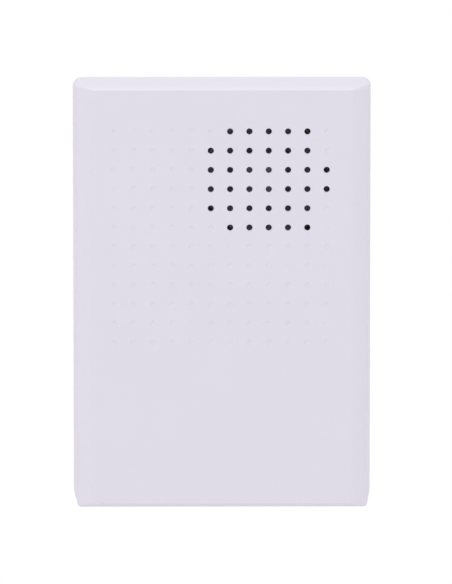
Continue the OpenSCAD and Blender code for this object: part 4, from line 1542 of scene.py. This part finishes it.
TRACKS = [
    [(7.0, 15.0), (7.0, 28.8)],
    [(7.0, 15.0), (4.5, 12.5), (4.5, 10.5), (9.5, 5.5)],
    [(17.0, 15.0), (21.0, 15.0), (24.5, 18.5), (27.0, 18.5)],
    [(17.0, 19.6), (19.5, 17.1), (19.5, 15.39)],
    [(17.0, 24.2), (19.0, 26.2), (19.0, 28.41)],
    [(17.0, 28.8), (22.0, 28.8), (25.0, 25.8), (27.5, 25.8), (30.0, 23.0)],
    [(7.0, 36.0), (4.5, 38.5), (4.5, 44.0), (8.0, 47.5), (33.0, 47.5), (34.75, 45.75), (34.75, 44.0)],
    [(17.0, 36.0), (21.0, 36.0), (22.0, 35.0), (28.0, 35.0)],
    [(17.0, 40.6), (20.0, 43.0), (23.75, 43.0)],
    [(26.25, 43.0), (30.0, 43.0), (33.0, 40.0), (40.0, 40.0), (43.19, 38.83)],
    [(43.19, 31.17), (43.19, 29.0), (41.5, 27.3), (41.5, 25.0)],
    [(45.73, 31.17), (47.6, 29.3), (47.6, 20.0), (45.25, 17.6), (45.25, 14.0)],
    [(48.27, 31.17), (49.4, 30.0), (49.4, 21.0), (50.75, 19.6), (50.75, 19.0)],
    [(50.81, 31.17), (54.5, 27.5), (57.0, 27.5), (58.73, 25.8), (58.73, 23.0)],
    [(50.81, 38.83), (53.0, 41.0), (56.0, 42.2), (61.0, 42.2)],
    [(48.27, 38.83), (48.27, 44.0), (51.0, 46.7), (70.0, 46.7), (73.0, 43.7), (71.0, 42.2)],
    [(45.73, 38.83), (45.73, 42.0), (43.7, 44.0), (37.25, 44.0)],
    [(61.0, 33.0), (58.0, 33.0), (56.0, 31.0), (56.0, 29.4)],
    [(71.0, 33.0), (73.4, 30.6), (73.4, 15.0), (70.4, 12.0), (68.0, 12.0)],
    [(61.0, 37.6), (58.0, 37.6), (55.6, 40.0)],
    [(53.25, 19.0), (56.0, 16.3), (56.0, 14.0), (58.0, 12.0), (64.0, 12.0)],
    [(42.75, 14.0), (42.75, 17.6), (42.0, 18.4), (42.0, 22.5)],
    [(66.73, 23.0), (66.73, 20.0), (66.0, 19.3), (66.0, 14.0)],
    [(61.27, 23.0), (62.5, 21.8), (62.5, 18.5), (60.0, 16.0)],
]
VIAS = [(56.0, 29.4), (55.6, 40.0), (60.0, 16.0)]


def ribbon_tree():
    """Sweeps a flat ribbon along lines that lie on the board."""
    tree = GeometryTree("Board ribbon", {"Width": "Float", "Thickness": "Float", "Material": "Material"})
    strip = tree.node("GeometryNodeCurvePrimitiveQuadrilateral", {"mode": "RECTANGLE"}, {
        "Width": tree.input("Thickness"), "Height": tree.input("Width"),
    })
    lines = tree.node("GeometryNodeSetCurveNormal", {"mode": "FREE"}, {
        "Curve": tree.lines(), "Normal": (0.0, 1.0, 0.0),
    })
    tree.sweep(lines, strip)
    return tree


class CHIME_OT_board_print(Operator):
    """Lays the masked tracks, the printed outlines and the soldered feet on the board"""

    bl_idname = "chime.board_print"
    bl_label = "Board print"

    def execute(self, context):
        tree = ribbon_tree()
        for name, lines, width, thick, finish in (
            ("board_tracks", TRACKS, 0.8, 0.05, "tracks"),
            ("board_outlines", legend_lines(), 0.22, 0.08, "legend"),
        ):
            piece = lines_object(name, [[on_board(spot) for spot in line] for line in lines])
            tree.make(piece, {"Width": width * MM, "Thickness": thick * MM, "Material": finishes()[finish]})
            fit(smooth(piece, 30), "base", "board")
        foot = turned("foot", [
            (0.0, -0.02), (0.95, -0.02), (0.95, 0.03), (0.72, 0.09), (0.52, 0.22), (0.4, 0.45), (0.34, 0.62),
            (0.0, 0.62),
        ], steps=20)
        via = turned("via", [
            (0.7, -0.02), (0.7, 0.04), (0.62, 0.06), (0.32, 0.06), (0.25, 0.02), (0.25, -0.02),
        ], looped=True)
        for name, part, spots, angle in (
            ("plated_vias", via, VIAS, 40), ("soldered_feet", foot, solder_feet(), 60),
        ):
            repeat(name, part, [on_board(spot) for spot in spots], "tinned_wire", angle=angle)
        return {"FINISHED"}


class CHIME_OT_plug(Operator):
    """Builds the nylon plug of the loudspeaker leads, the rivets and the solder on the tags"""

    bl_idname = "chime.plug"
    bl_label = "Plug and tags"

    def execute(self, context):
        self.plug(extent("lead_plug"))
        tags, strip = extent("speaker_tags"), extent("speaker_tag_strip")
        spots = [SPEAKER[0] + side * TAG_SPAN / 2 for side in (-1, 1)]
        bead = turned("bead", [
            (0.0, -0.75), (0.55, -0.6), (0.95, 0.0), (0.8, 0.45), (0.35, 0.72), (0.0, 0.8),
        ], steps=20)
        points = [place(x, tags.bottom + 0.4, tags.front - 0.2) for x in spots]
        repeat("tag_solder", bead, points, "tinned_wire", angle=60, turn=math.tau)
        rivet = turned("rivet", [
            (0.35, -1.5), (0.35, 0.1), (0.5, 0.32), (0.8, 0.36), (1.05, 0.22), (1.1, 0.0), (0.6, -0.1),
            (0.6, -1.5),
        ], looped=True, steps=24)
        points = [place(x, (strip.bottom + strip.top) / 2, strip.front) for x in spots]
        repeat("tag_rivets", rivet, points, "tinned_brass", angle=50)
        return {"FINISHED"}

    def plug(self, box):
        """The plug: grooved sides, a latch slot over each contact and round entries for the leads."""
        past, inset, groove = 1.0, 1.2, 0.5
        half_slot, slot_top, slot_depth, bore = 0.5, 3.6, 0.7, 0.8
        plug = block("nylon_plug", (box.left, box.bottom, box.back), (box.right, box.top, box.front))
        front = box.front + past
        low, high = (box.bottom + inset, box.back + 1.0), (box.top - inset, front)
        cutters = [
            block("groove", (x - groove, *low), (x + groove, *high)) for x in (box.left, box.right)
        ]
        for side in (-1, 1):
            x = (box.left + box.right) / 2 + side * PLUG_PITCH / 2
            cutters.append(block(
                "slot", (x - half_slot, box.bottom + 1.0, box.front - slot_depth),
                (x + half_slot, box.bottom + slot_top, front),
            ))
            entry = turned("entry", [(0.0, -past), (bore, -past), (bore, 0.9), (0.0, 0.9)], steps=20)
            turn = Matrix.Rotation(math.pi / 2, 4, "X")
            entry.data.transform(Matrix.Translation(place(x, box.top, BOARD.front + PLUG_RISE)) @ turn)
            cutters.append(entry)
        bevelled(wear(subtract(plug, *cutters), finishes()["plug_nylon"]), 0.18)
        fit(plug, "base", "plug_nylon", "lead_plug")


# Moulded and pressed parts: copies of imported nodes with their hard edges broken

BROKEN_EDGES = {
    "back_plate": ("wall_plate", 0.3),
    "catch_tongue": ("spring_catch", 0.15),
    "speaker_basket": ("speaker_frame", 0.12),
    "speaker_yoke": ("magnet_yoke", 0.3),
    "speaker_magnet": ("magnet_ring", 0.5),
    "speaker_top_plate": ("pole_plate", 0.2),
    "speaker_tag_strip": ("tag_strip", 0.1),
    "speaker_tags": ("solder_tags", 0.08),
    "circuit_board": ("chime_board", 0.1),
    "melody_chip": ("chip_body", 0.18),
    "power_transistors": ("transistor_bodies", 0.2),
    "volume_trimmer": ("trimmer_housing", 0.18),
    "volume_rotor": ("trimmer_rotor", 0.1),
    "terminal_housing": ("clamp_housing", 0.2),
    "terminal_screw_left": ("clamp_screw_left", 0.1),
    "terminal_screw_right": ("clamp_screw_right", 0.1),
}


class CHIME_OT_moulded_parts(Operator):
    """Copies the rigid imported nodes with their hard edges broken, as moulding and pressing leave them"""

    bl_idname = "chime.moulded_parts"
    bl_label = "Moulded and pressed parts"

    def execute(self, context):
        slots = {part["node"]: part["material_slot"] for part in frame["record"]["subparts"]}
        for node, (name, width) in BROKEN_EDGES.items():
            piece = bevelled(wear(copy_node(name, node), finishes()[slots[node]]), width)
            fit(piece, frame["nodes"][node]["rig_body"], slots[node], node)
        return {"FINISHED"}


# Stage: each lamp's place and size are in millimetres and its power in watts

LAMPS = (
    ("front lamp", (0, 160, 1500), 300, 2.5),
    ("left front lamp", (-900, 150, 1000), 700, 1.1),
    ("right front lamp", (900, 150, 1000), 700, 0.55),
    ("top lamp", (-60, 1200, 60), 800, 4.5),
    ("left lamp", (-1200, 250, 0), 700, 1.4),
    ("right lamp", (1200, 150, 0), 700, 1.2),
)


class CHIME_OT_stage(Operator):
    """Sets the camera, the floor, the lamps and the even light from all round"""

    bl_idname = "chime.stage"
    bl_label = "Stage"

    def execute(self, context):
        s = context.scene.chime_stage
        context.scene.view_settings.view_transform = "Standard"
        self.camera(context, s)
        self.floor(s)
        self.sky(context, s)
        for name, spot, size, power in LAMPS:
            self.lamp(name, place(*spot), size * MM, power)
        return {"FINISHED"}

    def camera(self, context, s):
        look = Vector((
            -math.sin(s.azimuth) * math.cos(s.elevation), math.cos(s.azimuth) * math.cos(s.elevation),
            -math.sin(s.elevation),
        ))
        data = bpy.data.cameras.new("camera")
        data.lens = s.lens
        obj = link_object("camera", data)
        obj.location = Vector(s.aim) - look * s.distance
        obj.rotation_euler = look.to_track_quat("-Z", "Y").to_euler()
        context.scene.camera = obj

    def floor(self, s):
        half, level = s.floor_size / 2, CAD_BOX[0][2] - s.floor_drop
        mesh = bpy.data.meshes.new("floor")
        mesh.from_pydata([(x * half, y * half, level) for x, y in SQUARE], [], [(0, 1, 2, 3)])
        wear(link_object("floor", mesh), floor_paper("floor paper"))

    def sky(self, context, s):
        world = bpy.data.worlds.new("studio")
        world.use_nodes = True
        context.scene.world = world
        graph = Graph(world.node_tree)
        light = graph.node("ShaderNodeBackground", None, {
            "Color": WHITE, "Strength": s.sky + (1.0 - s.sky) * graph.seen(),
        })
        graph.node("ShaderNodeOutputWorld", None, {"Surface": light})

    def lamp(self, name, spot, size, power):
        data = bpy.data.lights.new(name, "AREA")
        data.size = size
        data.energy = power
        obj = link_object(name, data)
        obj.location = spot
        middle = place(0.0, 0.0, COVER.front / 2)
        obj.rotation_euler = (middle - spot).to_track_quat("-Z", "Y").to_euler()


class CHIME_OT_node_finishes(Operator):
    """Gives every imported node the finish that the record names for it"""

    bl_idname = "chime.node_finishes"
    bl_label = "Node finishes"

    def execute(self, context):
        for part in frame["record"]["subparts"]:
            wear(frame["nodes"][part["node"]], finishes()[part["material_slot"]])
        return {"FINISHED"}


OPERATORS = (
    CHIME_OT_stage, CHIME_OT_node_finishes, CHIME_OT_moulded_parts, CHIME_OT_diaphragm, CHIME_OT_suspension,
    CHIME_OT_gasket, CHIME_OT_screws, CHIME_OT_axial_parts, CHIME_OT_capacitors, CHIME_OT_board_print,
    CHIME_OT_plug, CHIME_OT_leads, CHIME_OT_cover,
)


class CHIME_PT_pieces(Panel):
    """Lists the pieces in the order in which they are built"""

    bl_idname = "CHIME_PT_pieces"
    bl_label = "Chime Box"
    bl_space_type = "VIEW_3D"
    bl_region_type = "UI"
    bl_category = "Chime Box"

    def draw(self, context):
        for name in SETTINGS:
            column = self.layout.box().column(align=True)
            group = getattr(context.scene, name)
            for key in group.__annotations__:
                column.prop(group, key)
        for operator in OPERATORS:
            self.layout.operator(operator.bl_idname)


CLASSES = (*SETTINGS.values(), *OPERATORS, CHIME_PT_pieces)


def register():
    for cls in CLASSES:
        bpy.utils.register_class(cls)
    for name, cls in SETTINGS.items():
        setattr(bpy.types.Scene, name, PointerProperty(type=cls))


def unregister():
    for name in SETTINGS:
        delattr(bpy.types.Scene, name)
    for cls in reversed(CLASSES):
        bpy.utils.unregister_class(cls)


def main():
    register()
    for operator in OPERATORS:
        group, action = operator.bl_idname.split(".")
        getattr(getattr(bpy.ops, group), action)()


if __name__ == "__main__":
    main()
